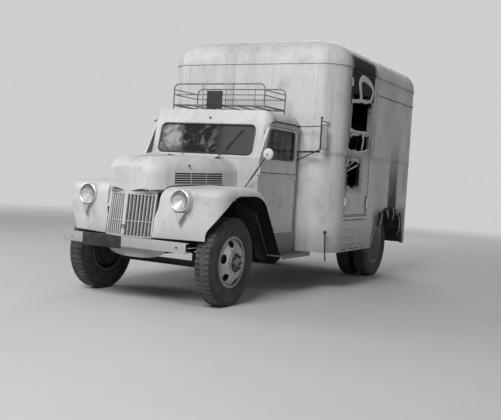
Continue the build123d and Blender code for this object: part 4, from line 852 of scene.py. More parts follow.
class TRUCK_OT_wheel_trim(bpy.types.Operator):
    """Makes the front wheels' bulging discs, the wheel nuts, hub rings, lock rings and valves"""
    bl_idname = "truck.wheel_trim"
    bl_label = "Wheel trim"

    def execute(self, context):
        s = sizes()
        lock_ring = [(0.0, 0.262), (0.006, 0.259), (0.008, 0.2545), (0.006, 0.250), (0.0, 0.247), (-0.006, 0.2545)]
        hub_ring = [(-0.002, 0.100), (0.004, 0.101), (0.006, 0.105), (0.004, 0.109), (-0.002, 0.110)]
        cap_nut = stub(-0.002, 0.026, 0.010, 0.013, 0.022)
        lock_x = 0.086
        for sign, side in SIDES.items():
            outward = (sign, 0, 0)
            front, rear = f"wheel_front_{side}", f"wheels_rear_{side}"

            def at_front(out):
                """The place on the front axle this far out from the wheel's middle."""
                return (sign * (FRONT_WHEEL_X + out), *FRONT_AXLE)

            make_piece(f"front_disc_{side}", front_disc(sign), "wheel_face", front, slot="wheel_paint", edge=50)
            nuts = Shape()
            hex_nuts(nuts, FRONT_AXLE, sign, FRONT_WHEEL_X + 0.131, 0.083, 8, s.nut_width * 0.85)
            nuts.turned(cap_nut, at_front(0.177), outward, 6)
            make_piece(f"nuts_front_{side}", nuts, "underside_paint", front)
            hub = Shape().turned(hub_ring, at_front(0.132), outward, 56, closed=True)
            hub.turned(lock_ring, at_front(lock_x), outward, 72, closed=True)
            make_piece(f"hub_rings_front_{side}", hub, "wheel_face", front, slot="wheel_paint")
            base = np.array((sign * 0.900, FRONT_AXLE[0] + 0.226, FRONT_AXLE[1] + 0.02))
            line = smooth_line([base, base + (sign * 0.014, 0.0, 0), base + (sign * 0.026, -0.010, 0)])
            make_piece(f"valve_front_{side}", Shape().tube(line, 0.0042, 10), "bright_metal", front)
            nuts = Shape()
            hex_nuts(nuts, REAR_AXLE, sign, REAR_PAIR_X + 0.034, 0.074, 6, s.nut_width * 0.8)
            make_piece(f"nuts_rear_{side}", nuts, "underside_paint", rear)
            place = (sign * (REAR_PAIR_X + TWIN_OFFSET + lock_x), *REAR_AXLE)
            ring = Shape().turned(lock_ring, place, outward, 72, closed=True)
            make_piece(f"lock_ring_rear_{side}", ring, "underside_paint", rear)
        return {"FINISHED"}


# Nose: hood, grille, lamps and bumper

HOOD_STATIONS = np.array([(-2.738, 0.210), (-2.660, 0.312), (-2.480, 0.384), (-2.100, 0.486), (-1.820, 0.534),
                          (-1.551, 0.578)])


def hood_half(y):
    """The hood's half width at a place along the truck."""
    return np.interp(y, HOOD_STATIONS[:, 0], HOOD_STATIONS[:, 1])


@lru_cache
def surface_tree(name):
    """A search tree over one node's faces."""
    mesh = bpy.data.objects[name].data
    return BVHTree.FromPolygons([v.co[:] for v in mesh.vertices], [p.vertices[:] for p in mesh.polygons])


def hood_side(sign, y, z, proud):
    """Points on the hood's side at given places along and up, standing proud of the sheet: each is where a level
    ray from outside meets it."""
    y, z = np.broadcast_arrays(y, z)
    x = hood_half(y)
    for spot in np.ndindex(*y.shape):
        hit = surface_tree("hood").ray_cast((sign * 1.2, y[spot], z[spot]), (-sign, 0, 0))[0]
        x[spot] = abs(hit.x) if hit else x[spot]
    return np.stack([sign * (x + proud), y, z], -1)


LOUVRE_PANELS = ((-2.480, -2.268), (-2.258, -2.057), (-2.047, -1.800))
LOUVRE_SLOTS = 5
LOUVRE_PITCH = 0.024


def louvre_level(y, slot):
    """Height of a louvre slot's lower edge: a pitch from slot to slot, climbing 34 mm in each metre to the rear."""
    return 1.246 + LOUVRE_PITCH * slot + 0.034 * (y + 2.480)


class TRUCK_OT_hood_trim(bpy.types.Operator):
    """Makes the hood's louvres, pull knobs, centre crease and pointed lip, and painted shade in the gaps above the
    fenders
    """
    bl_idname = "truck.hood_trim"
    bl_label = "Hood trim"

    def execute(self, context):
        knob_y, knob_z = -2.303, 1.437
        knob_profile = [(0, 0), (0, 0.007), (0.008, 0.006), (0.011, 0.011), (0.018, 0.011), (0.021, 0.007), (0.022, 0)]
        for sign, side in SIDES.items():
            self.louvres(sign, side)
            self.fender_gap(sign, side)
            place = (sign * (hood_half(knob_y) - 0.004), knob_y, knob_z)
            knob = Shape().turned(knob_profile, place, (sign, 0, 0.25), 20)
            make_piece(f"hood_knob_{side}", knob, "mirror_black", "hood")
        y = np.array([-2.720, -2.690, -2.620, -2.480, -2.300, -2.100, -1.820, -1.570])
        z = np.array([1.385, 1.440, 1.494, 1.521, 1.530, 1.538, 1.544, 1.5485])
        crease = smooth_line(np.column_stack([np.zeros(len(y)), y, z]), 6)
        strip = Shape().sweep(crease, ring_of(10, 0.006, 0.0025), reference=(1, 0, 0))
        make_piece("hood_centre_strip", strip, "hood_paint", "hood", slot="body_paint")
        self.lip()
        return {"FINISHED"}

    @staticmethod
    def fender_gap(sign, side):
        """A thin line of painted shade in the gap on the hood's side, just above the highest place where level rays
        cast down beside the hood meet the fender."""
        fender = surface_tree(f"fender_{side}")
        y = np.linspace(-2.660, -1.600, 40)
        falls = [[fender.ray_cast((sign * (hood_half(at) + out), at, 1.5), (0, 0, -1))[0]
                  for out in (0.03, 0.09, 0.15, 0.21)] for at in y]
        level = np.array([max((hit.z for hit in row if hit), default=np.nan) for row in falls])
        met = ~np.isnan(level)
        line = hood_side(sign, y[met], level[met] + 0.006, 0.0006)
        gap = Shape().sweep(line, ring_of(8, 0.0055, 0.0012), reference=(sign, 0, 0))
        make_piece(f"fender_gap_{side}", gap, "gap_black", "truck", slot="body_paint")

    @staticmethod
    def lip():
        """The lip over the grille: its front runs back with the power 1.6 of the place across beyond 0.19 m, and its
        lower edge rises from the point with the power 0.9 of it."""
        half, top = 0.306, 1.222
        across = np.linspace(-half, half, 41)[:, None]
        down = np.linspace(0, 1, 5)[None, :]
        front = -2.741 + 0.076 * np.clip((np.abs(across) - 0.19) / 0.116, 0, 1) ** 1.6
        low = 1.140 + 0.066 * (np.abs(across) / half) ** 0.9
        z = top + (low - top) * down
        outer = np.stack([across + 0 * down, front - 0.004 * np.sin(np.pi * down / 2) + 0 * z, z], -1)
        lip = Shape().shell(outer, outer + (0, 0.004, 0))
        make_piece("hood_lip", lip, "hood_paint", "hood", slot="body_paint", edge=60)

    @staticmethod
    def louvres(sign, side):
        """A dark panel for each of the three groups, pale pressed bars between its slots, and a pale frame: bars
        along the foot and top, and posts at both ends and between the groups."""
        shadow, bars = Shape(), Shape()
        last = LOUVRE_SLOTS - 1
        ends = (LOUVRE_PANELS[0][0], LOUVRE_PANELS[-1][1])
        for front, rear in LOUVRE_PANELS:
            y = np.linspace(front, rear, 9)
            foot, top = louvre_level(y, 0), louvre_level(y, last) + 0.015
            rows = [hood_side(sign, y, *row) for row in ((foot, 0.0004), (foot, 0.0014), (top, 0.0014), (top, 0.0004))]
            shadow.grid(np.array(rows).transpose(1, 0, 2), close_columns=True)
            for slot in range(1, LOUVRE_SLOTS):
                line = hood_side(sign, y, louvre_level(y, slot) - 0.0045, 0.0028)
                bars.sweep(line, rounded_section(0.005, 0.0075, 0.0022))
        y = np.linspace(ends[0] - 0.008, ends[1] + 0.008, 25)
        for slot, drop in ((0, 0.004), (LOUVRE_SLOTS, 0.005)):
            line = hood_side(sign, y, louvre_level(y, slot) - drop, 0.0012)
            bars.sweep(line, rounded_section(0.0045, 0.008, 0.002))
        for post in (ends[0] - 0.005, -2.263, -2.052, ends[1] + 0.005):
            level = np.linspace(louvre_level(post, 0), louvre_level(post, last) + 0.015, 4)
            line = hood_side(sign, np.full(4, post), level, 0.0022)
            bars.sweep(line, rounded_section(0.006, 0.0045, 0.002), (sign, 0, 0))
        make_piece(f"louvre_shadow_{side}", shadow, "gap_black", "hood", slot="body_paint")
        make_piece(f"louvre_bars_{side}", bars, "hood_paint", "hood", slot="body_paint")


GRILLE_HALF, GRILLE_FOOT, GRILLE_HEIGHT = 0.281, 0.694, 0.428


def grille_y(x, z):
    """Front of the grille's bars at a place across and up: the prow falls back towards the side posts."""
    share = np.abs(x) / GRILLE_HALF
    rise = (z - GRILLE_FOOT) / GRILLE_HEIGHT
    return -2.792 + 0.090 * share + rise * (0.040 + 0.020 * share)


class TRUCK_OT_grille_trim(bpy.types.Operator):
    """Makes the grille's cross bars, centre strip and crank ring, painted shade in the crank hole, the radiator's face
    and a sheet of painted shade between
    """
    bl_idname = "truck.grille_trim"
    bl_label = "Grille trim"

    def execute(self, context):
        trim = Shape()
        x = np.linspace(-GRILLE_HALF, GRILLE_HALF, 23)
        for level, half in ((0.845, 0.0035), (1.118, 0.005)):
            path = np.column_stack([x, grille_y(x, level) - 0.003, np.full(len(x), level)])
            trim.sweep(path, rounded_section(2 * half, 0.006, 0.0025), reference=(0, 1, 0))
        z = np.linspace(0.700, 1.130, 14)
        path = np.column_stack([np.zeros(len(z)), grille_y(0.0, z) - 0.004, z])
        trim.sweep(path, ring_of(14, 0.016, 0.008), reference=(0, 1, 0))
        make_piece("grille_trim", trim, "body_paint", "truck")
        crank_z = 0.785
        crank = (0.0, grille_y(0.0, crank_z) - 0.004, crank_z)
        ring = [(0, 0.012), (0, 0.022), (0.010, 0.022), (0.013, 0.018), (0.010, 0.012)]
        hole = [(0.0, 0), (0.0, 0.013), (0.006, 0.013), (0.006, 0)]
        make_piece("crank_ring", Shape().turned(ring, crank, (0, -1, 0), 28, closed=True), "mirror_black", "truck")
        # The crank hole is painted shade: a shallow black disc
        make_piece("crank_hole_shade", Shape().turned(hole, crank, (0, -1, 0), 28), "gap_black", "truck")
        gx, gz = np.meshgrid(np.linspace(-0.245, 0.245, 60), np.linspace(0.715, 1.105, 40), indexing="ij")
        wave = 0.003 * np.cos(gx * 2 * np.pi / 0.010) * np.cos(gz * 2 * np.pi / 0.012)
        core = Shape().grid(np.stack([gx, -2.554 + wave, gz], -1))
        make_piece("radiator_core", core, "engine_iron", "truck", edge=60)
        # A sheet of painted shade behind the grille's bars
        gx, gz = np.meshgrid(np.linspace(-0.276, 0.276, 25), np.linspace(0.706, 1.112, 9), indexing="ij")
        shade = Shape().grid(np.stack([gx, grille_y(gx, gz) + 0.030, gz], -1))
        make_piece("grille_shade", shade, "gap_black", "truck")
        return {"FINISHED"}


# Each headlamp's place: how far out, along and up
LAMP = (0.587, -2.672, 1.086)


class TRUCK_OT_lamps(bpy.types.Operator):
    """Makes the headlamps' rings and bulbs, the pointed side lamps and the tail lamps"""
    bl_idname = "truck.lamps"
    bl_label = "Lamps"

    def execute(self, context):
        ring = [(-0.004, 0.0945), (0.005, 0.0955), (0.009, 0.1015), (0.007, 0.108), (0.001, 0.1128),
                (-0.008, 0.1128), (-0.008, 0.110)]
        bulb = [(-0.050, 0), (-0.048, 0.010), (-0.034, 0.011), (-0.024, 0.007), (-0.020, 0)]
        tail_body = [(0, 0), (0, 0.048), (0.016, 0.048), (0.023, 0.043), (0.023, 0.040)]
        tail_lens = [(0.019, 0.040), (0.023, 0.040), (0.028, 0.030), (0.031, 0.015), (0.032, 0)]
        for sign, side in SIDES.items():
            head, tail = ((sign * LAMP[0], *LAMP[1:]), (0, -1, 0)), ((sign * 1.02, 2.764, 1.02), (0, 1, 0))
            for name, profile, place, finish, count, closed in (
                ("headlamp_ring", ring, head, "bright_metal", 64, True),
                ("headlamp_bulb", bulb, head, "lamp_glass", 20, False),
                ("tail_lamp_body", tail_body, tail, "mirror_black", 36, False),
                ("tail_lamp_lens", tail_lens, tail, "red_lens", 36, False),
            ):
                make_piece(f"{name}_{side}", Shape().turned(profile, *place, count, closed), finish, "truck")
            self.side_lamp(sign, side)
        return {"FINISHED"}

    @staticmethod
    def side_lamp(sign, side):
        """A pointed lamp under each headlamp: its half width falls from the top to nothing at the foot with the
        power 1.2, and its face bulges by a half circle across it."""
        facing = unit(np.array((sign * 0.177, -0.984, 0.0)))
        across = np.array((-facing[1], facing[0], 0.0))
        gu, gv = np.meshgrid(np.linspace(-1, 1, 17), np.linspace(0, 1, 22))
        half = 0.043 * (1 - gv**1.2) * np.clip(gv / 0.05 + 0.75, 0, 1)
        dome = 0.017 * np.sqrt(np.clip(1 - gu**2, 0, 1)) * np.sqrt(np.clip((1 - gv) * 1.8, 0, 1))
        dome = dome * np.clip(gv * 12, 0, 1)
        root = np.array((sign * 0.606, -2.668, 0.965))
        front = root + across * (gu * half - sign * 0.018 * gv)[..., None] + facing * (dome + 0.002)[..., None]
        front[..., 2] -= 0.112 * gv
        rear = front - facing * (dome + 0.014)[..., None]
        make_piece(f"side_lamp_{side}", Shape().shell(front, rear), "bumper_paint", "truck", slot="body_paint", edge=50)
        # A rim of painted shade round the lamp's edge
        path = np.concatenate([front[:-1, 0], front[::-1, -1]], 0) - facing * 0.001
        rim = Shape().sweep(path[::2], ring_of(8, 0.0028), reference=facing, closed=True)
        make_piece(f"side_lamp_shade_rim_{side}", rim, "gap_black", "truck", slot="body_paint")


class TRUCK_OT_bumper_trim(bpy.types.Operator):
    """Makes the dressed bumper bar, the blank plate and the curved pan under it"""
    bl_idname = "truck.bumper_trim"
    bl_label = "Bumper trim"

    def execute(self, context):
        mesh = NODES["bumper"].data.copy()
        cleaner = bmesh.new()
        cleaner.from_mesh(mesh)
        bmesh.ops.remove_doubles(cleaner, verts=cleaner.verts, dist=1e-5)
        # The front face goes back, which leaves room for the plate in front of it
        room = 0.0045
        front = min(vertex.co.y for vertex in cleaner.verts)
        for vertex in cleaner.verts:
            if vertex.co.y < front + 0.003:
                vertex.co.y += room
        bmesh.ops.dissolve_limit(cleaner, angle_limit=0.02, verts=cleaner.verts, edges=cleaner.edges)
        cleaner.to_mesh(mesh)
        cleaner.free()
        bar = bpy.data.objects.new("bumper_bar", mesh)
        bpy.context.scene.collection.objects.link(bar)
        mesh.materials.clear()
        mesh.materials.append(FINISHES["bumper_paint"])
        rounding = bar.modifiers.new("Edges", "BEVEL")
        rounding.width = 0.003
        rounding.segments = 2
        rounding.limit_method = "ANGLE"
        rounding.angle_limit = np.radians(50)
        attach(bar, "truck")
        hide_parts("bumper")
        plate = Shape().block((-0.262, -2.8026, 0.620), (0.500, 0.004, 0.130), 0.0015)
        make_piece("blank_plate", plate, "sign_paint", "truck")
        # The pan's depth under the bumper falls to its ends with the power 2.6 of the place across
        gu, gv = np.meshgrid(np.linspace(-1, 1, 41), np.linspace(0, 1, 9), indexing="ij")
        x = 0.083 + 0.365 * gu
        depth = 0.098 * np.sqrt(np.clip(1 - np.abs(gu) ** 2.6, 0, 1)) + 0.004
        y = -2.735 + 0.050 * gu**2 + 0.020 * gv**2
        z = 0.580 - depth * gv
        outer = np.stack([x, y, z], -1)
        make_piece("apron_pan", Shape().shell(outer, outer + (0, 0.004, 0)), "body_paint", "truck", edge=60)
        return {"FINISHED"}


# Cab

SCREEN_MIDDLE = np.array((0.0, -1.318, 1.778))
SCREEN_RISE = unit(np.array((0.0, 0.088, 0.380)))
SCREEN_OUT = np.cross((1.0, 0.0, 0.0), SCREEN_RISE)


# How far out the door skins stand
CAB_SIDE = 0.795


def framed(outline, middle, across, rise, out, proud):
    """Lays a flat outline on a plane through middle and lifts it off the plane."""
    outline = np.asarray(outline, float)
    return np.asarray(middle) + outline[:, :1] * across + outline[:, 1:] * rise + proud * np.asarray(out, float)


def window_path(width, height, radius):
    """A rounded rectangle's outline for a window's rubber, with a point halfway between each two of its points."""
    corners = rounded_section(width, height, radius, 7)
    following = np.roll(corners, -1, 0)
    middles = (corners + following) / 2
    return np.stack([corners, middles], 1).reshape(-1, 2)


class TRUCK_OT_cab_trim(bpy.types.Operator):
    """Makes the windscreen's rubber, the wipers, painted shade in the door creases and under the rain rails, window
    rubbers, handles and small fittings
    """
    bl_idname = "truck.cab_trim"
    bl_label = "Cab trim"

    def execute(self, context):
        s = sizes()
        for name, window, proud, section, finish in (
            ("screen_rubber", (1.292, 0.352, 0.064), 0.002, ring_of(10, s.gasket_radius, 0.006), "black_plastic"),
            ("screen_frame", (1.340, 0.398, 0.086), 0.001, ring_of(10, 0.013, 0.006), "body_paint"),
        ):
            path = framed(window_path(*window), SCREEN_MIDDLE, (1, 0, 0), SCREEN_RISE, SCREEN_OUT, proud)
            rim = Shape().sweep(path, section, reference=SCREEN_OUT, closed=True)
            make_piece(name, rim, finish, "truck")
        self.wipers(s.wiper_length)
        knob = Shape().turned([(0, 0), (0, 0.012), (0.012, 0.011), (0.018, 0.006), (0.019, 0)],
                              (0.015, -1.262, 2.030), (0, -0.95, 0.3), 20)
        make_piece("roof_knob", knob, "mirror_black", "truck")
        for sign, side in SIDES.items():
            door = f"cab_door_{side}"
            low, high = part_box(f"door_glass_{side}")
            window = np.array([(low.y, low.z), (high.y, low.z), (high.y, high.z), (low.y + 0.120, high.z)])
            path = self.window_line(window, 0.050)
            path = np.column_stack([np.full(len(path), sign * (CAB_SIDE + 0.0005)), path])
            rim = Shape().sweep(path, ring_of(10, 0.009, 0.006), reference=(1, 0, 0), closed=True)
            make_piece(f"door_window_rubber_{side}", rim, "black_plastic", door)
            # Painted shade in the door's crease
            crease_x = sign * (CAB_SIDE + 0.0015)
            crease = straight((crease_x, -1.425, 1.418), (crease_x, -0.500, 1.418), 24)
            crease = Shape().sweep(crease, ring_of(8, 0.003, 0.0035))
            make_piece(f"door_crease_shade_{side}", crease, "gap_black", door)
            place = (sign * CAB_SIDE, -0.545, 1.318)
            lock = Shape().turned(stub(0, 0.010, 0.007, 0.009, 0.007), place, (sign, 0, 0), 20)
            make_piece(f"door_lock_{side}", lock, "bright_metal", door)
            inner = Shape().block((sign * 0.7565, -0.955, 1.130), (0.006, 0.760, 0.560), 0.002)
            inner.block((sign * 0.747, -0.900, 1.395), (0.020, 0.300, 0.030), 0.008)
            make_piece(f"door_lining_{side}", inner, "black_plastic", door)
            # Painted shade: a dark bead for the shadow under the rain rail
            y = np.linspace(-1.235, -0.470, 30)
            z = 2.010 - 0.040 * np.clip((-1.10 - y) / 0.13, 0, 1) ** 2 - 0.020 * np.clip((y + 0.56) / 0.1, 0, 1) ** 2
            rain = np.column_stack([np.full(30, sign * (CAB_SIDE + 0.014)), y, z])
            rain = Shape().sweep(rain, ring_of(8, 0.0055, 0.0075))
            make_piece(f"rain_rail_shade_{side}", rain, "gap_black", "truck")
        return {"FINISHED"}

    @staticmethod
    def wipers(length):
        """Two spindles; the left one has an arm to the screen's middle height, with a slanting blade on its tip."""
        wiper = Shape()
        right, left = np.array((-0.268, -1.366, 1.578)), np.array((0.235, -1.366, 1.578))
        for foot in (right, left):
            wiper.turned(stub(0, 0.011, 0.020, 0.026, 0.006), foot, SCREEN_OUT, 18)
        tip = SCREEN_MIDDLE + (0.395, 0, 0) + 0.020 * SCREEN_OUT
        wiper.bar(left + 0.022 * SCREEN_OUT, tip, rounded_section(0.008, 0.004, 0.0015), reference=SCREEN_OUT)
        middle = tip - 0.010 * SCREEN_OUT
        half = unit(np.array((0.62, 0, 0)) + 0.78 * SCREEN_RISE) * length / 2
        wiper.bar(middle - half, middle + half, rounded_section(0.006, 0.016, 0.002), reference=SCREEN_OUT)
        make_piece("wipers", wiper, "black_plastic", "truck")

    @staticmethod
    def window_line(corners, radius):
        """Rounds a four-cornered outline: near each corner the line is the quadratic curve of the two cut points."""
        before, after = np.roll(corners, 1, 0), np.roll(corners, -1, 0)
        start = corners + unit(before - corners) * radius
        end = corners + unit(after - corners) * radius
        t = np.linspace(0, 1, 7)[None, :, None]
        curve = (1 - t) ** 2 * start[:, None] + 2 * t * (1 - t) * corners[:, None] + t**2 * end[:, None]
        return curve.reshape(-1, 2)


class TRUCK_OT_cab_inside(bpy.types.Operator):
    """Makes the bench's cushion and backrest, the dashboard, pedals and gear lever"""
    bl_idname = "truck.cab_inside"
    bl_label = "Cab interior"

    @staticmethod
    def cushion(low, high, upright=False):
        """A crowned closed pad: thickness grows with the square root of how far a point is from the edges,
        less a narrow dip at each sewn channel, and the sides pull in by a share of the same function."""
        crown, channels = 0.034, 9
        gu, gv = np.meshgrid(np.linspace(-1, 1, 97), np.linspace(-1, 1, 49), indexing="ij")
        edge = (1 - np.abs(gu) ** 7) ** 0.5 * (1 - np.abs(gv) ** 5) ** 0.5
        dip = np.exp(-((((gu * channels / 2 + 0.5) % 1 - 0.5) / 0.05) ** 2)) * (np.abs(gu) < 0.96)
        swell = crown * edge * (1 - 0.42 * dip)
        half = (np.asarray(high) - low) / 2
        middle = (np.asarray(high) + low) / 2
        pull = 1 - 0.012 * (1 - edge)
        if upright:
            top = np.stack([gu * half[0] * pull, -half[1] + 0 * gu, gv * half[2] * pull], -1)
            face = top - np.stack([0 * gu, swell - crown, 0 * gu], -1)
            back = np.stack([gu * half[0], half[1] + 0 * gu, gv * half[2]], -1)
        else:
            top = np.stack([gu * half[0] * pull, gv * half[1] * pull, half[2] + 0 * gu], -1)
            face = top + np.stack([0 * gu, 0 * gu, swell - crown], -1)
            back = np.stack([gu * half[0], gv * half[1], -half[2] + 0 * gu], -1)
        shape = Shape().grid(face + middle).grid(back + middle)
        for edge_face, edge_back in ((face[0], back[0]), (face[-1], back[-1]), (face[:, 0], back[:, 0]),
                                     (face[:, -1], back[:, -1])):
            shape.grid(np.stack([edge_face + middle, edge_back + middle], 0))
        return shape

    def execute(self, context):
        seat = self.cushion((-0.636, -0.918, 0.935), (0.636, -0.465, 1.092))
        pad = make_piece("bench_cushion", seat, "seat_cover", "truck", edge=60, replaces=["bench"])
        rest = self.cushion((-0.636, -0.552, 1.108), (0.636, -0.440, 1.500), upright=True)
        pad = make_piece("bench_backrest", rest, "seat_cover", "truck", edge=60)
        base = Shape().block((0.0, -0.690, 0.838), (1.24, 0.42, 0.180), 0.010)
        make_piece("bench_box", base, "underside_paint", "truck")
        line = smooth_line([(-1.350, 1.545), (-1.300, 1.530), (-1.235, 1.480), (-1.215, 1.400), (-1.235, 1.345)], 6)
        x = np.linspace(-0.70, 0.70, 30)[:, None]
        face = np.stack(np.broadcast_arrays(x, line[:, 0], line[:, 1]), -1)
        make_piece("dashboard", Shape().shell(face, face + (0, -0.012, -0.004)), "body_paint", "truck", edge=50)
        dials = Shape()
        for x_dial, radius in ((0.350, 0.055), (0.235, 0.032), (0.465, 0.032)):
            dials.turned([(-0.006, 0), (0, radius), (0.008, radius), (0.008, 0.88 * radius), (0.004, 0.86 * radius),
                          (0.004, 0)], (x_dial, -1.216, 1.420), (0, 1, 0.1), 36)
        make_piece("dials", dials, "mirror_black", "truck")
        line = smooth_line([(0.03, -1.250, 0.745), (0.03, -1.215, 0.900), (0.05, -1.100, 1.120), (0.06, -1.060, 1.220)])
        lever = Shape().tube(line, 0.008, reference=(1, 0, 0))
        lever.turned([(-0.018, 0), (-0.013, 0.014), (0.0, 0.020), (0.013, 0.014), (0.018, 0)], (0.06, -1.052, 1.236),
                     (0.0, 0.3, 1), 20)
        for x_pedal in (0.22, 0.40):
            lever.bar((x_pedal, -1.420, 0.800), (x_pedal, -1.330, 0.900), rounded_section(0.014, 0.010, 0.003),
                      reference=(1, 0, 0))
            lever.block((x_pedal, -1.325, 0.910), (0.070, 0.012, 0.060), 0.004)
        make_piece("levers", lever, "black_plastic", "truck")
        return {"FINISHED"}


class TRUCK_OT_mirrors(bpy.types.Operator):
    """Makes the round mirror on its long arm and the tall mirror with its stays"""
    bl_idname = "truck.mirrors"
    bl_label = "Mirrors"

    def execute(self, context):
        facing = unit(np.array((0.1, 1.0, 0.0)))
        centre = np.array((0.968, -1.560, 1.622))
        foot, head = np.array((0.668, -1.530, 1.216)), np.array((0.964, -1.572, 1.616))
        arm = Shape().tube(straight(foot, head, 12), 0.0062)
        arm.tube(straight(foot, head, 5, 0.30, 0.62), 0.0088)
        arm.turned(stub(-0.006, 0.018, 0.004, 0.014, 0.011), foot, head - foot, 18)
        arm.turned([(-0.014, 0), (-0.010, 0.010), (0.0, 0.013), (0.010, 0.010), (0.014, 0)], head, facing, 16)
        make_piece("mirror_arm", arm, "mirror_black", "truck", replaces=["mirrors"])
        shell = Shape().turned([(0.005, 0.0585), (0.0085, 0.0605), (0.0065, 0.0625), (-0.0065, 0.0625), (-0.013, 0.055),
                                (-0.018, 0.030), (-0.020, 0.0), (-0.018, 0.0), (-0.006, 0.054)], centre, facing, 48)
        make_piece("round_mirror_shell", shell, "body_paint", "truck")
        glass = Shape().turned([(0.0062, 0), (0.0074, 0), (0.007, 0.059), (0.006, 0.059)], centre, facing, 48)
        make_piece("round_mirror_glass", glass, "mirror_glass", "truck")
        bar_x, bar_y = 1.112, -0.500
        bar = straight((bar_x, bar_y, 1.737), (bar_x, bar_y, 2.110), 8)
        stays = Shape().tube(bar, 0.0085, 14, reference=(1, 0, 0))
        stays.turned([(0, 0), (0.004, 0.014), (0.024, 0.015), (0.034, 0.010), (0.036, 0)], (bar_x, bar_y, 2.098),
                     (0, 0, 1), 20)
        post = (CAB_SIDE + 0.002, -0.440)
        for z_post, z_bar, radius in ((2.010, 2.016, 0.0055), (1.702, 1.712, 0.0105), (1.600, 1.738, 0.0065)):
            stays.tube(straight((*post, z_post), (bar_x, bar_y, z_bar), 6), radius)
            stays.turned([(-0.002, 0), (-0.002, 0.020), (0.004, 0.018), (0.004, 0)], (*post, z_post), (1, 0, 0), 18)
        for z in (1.790, 2.080):
            stays.tube(straight((bar_x, bar_y, z), (bar_x, -0.317, z), 4), 0.0055)
        make_piece("tall_mirror_stays", stays, "mirror_black", "truck")
        across = unit(np.array((0.300, 0.954, 0.0)))
        outward = np.array((across[1], -across[0], 0.0))
        middle = np.array((bar_x, bar_y, 1.888)) + 0.062 * across
        turn = np.column_stack([across, (0, 0, 1), outward])
        back = Shape().block(middle, (0.104, 0.290, 0.010), 0.003, turn)
        make_piece("tall_mirror_back", back, "body_paint", "truck")
        path = framed(window_path(0.108, 0.294, 0.012), middle, across, (0, 0, 1), outward, 0.0)
        edge = Shape().sweep(path, ring_of(8, 0.0042, 0.0062), reference=outward, closed=True)
        make_piece("tall_mirror_rim", edge, "mirror_black", "truck")
        glass = Shape().block(middle - 0.0056 * outward, (0.098, 0.284, 0.0012), 0.0005, turn)
        make_piece("tall_mirror_glass", glass, "mirror_glass", "truck")
        return {"FINISHED"}


# Clinic box

BOX_FRONT, BOX_REAR, BOX_HALF = -0.337, 2.768, 1.250
FRONT_CORNER, REAR_CORNER = 0.320, 0.150
# Heights that the trim leaves free for the belt round the box
BELT = (1.678, 1.726)
# The same for doors' edgings and rivets, which keep further off it
BELT_FREE = (1.670, 1.735)
SEAM_TOP = 2.795


def box_line(y_from, proud, sign, steps=10):
    """Half of the box's outline from above on one side, from a place along the truck to the rear wall: a quarter
    circle at each corner and a straight line between them."""

    def corner(radius, y, first):
        """A quarter circle about a place inside the corner, from its first angle."""
        turn = np.linspace(first, first + np.pi / 2, steps)
        return (BOX_HALF - radius, y) + (radius + proud) * np.stack([np.cos(turn), np.sin(turn)], -1)

    front = corner(FRONT_CORNER, BOX_FRONT + FRONT_CORNER, -np.pi / 2)
    rear = corner(REAR_CORNER, BOX_REAR - REAR_CORNER, 0)
    straight = np.column_stack([np.full(24, BOX_HALF + proud), np.linspace(front[-1, 1], rear[0, 1], 26)[1:-1]])
    line = np.vstack([front, straight, rear])
    return line[(line[:, 1] >= y_from) & (line[:, 1] <= BOX_REAR + 0.0001)] * (sign, 1)


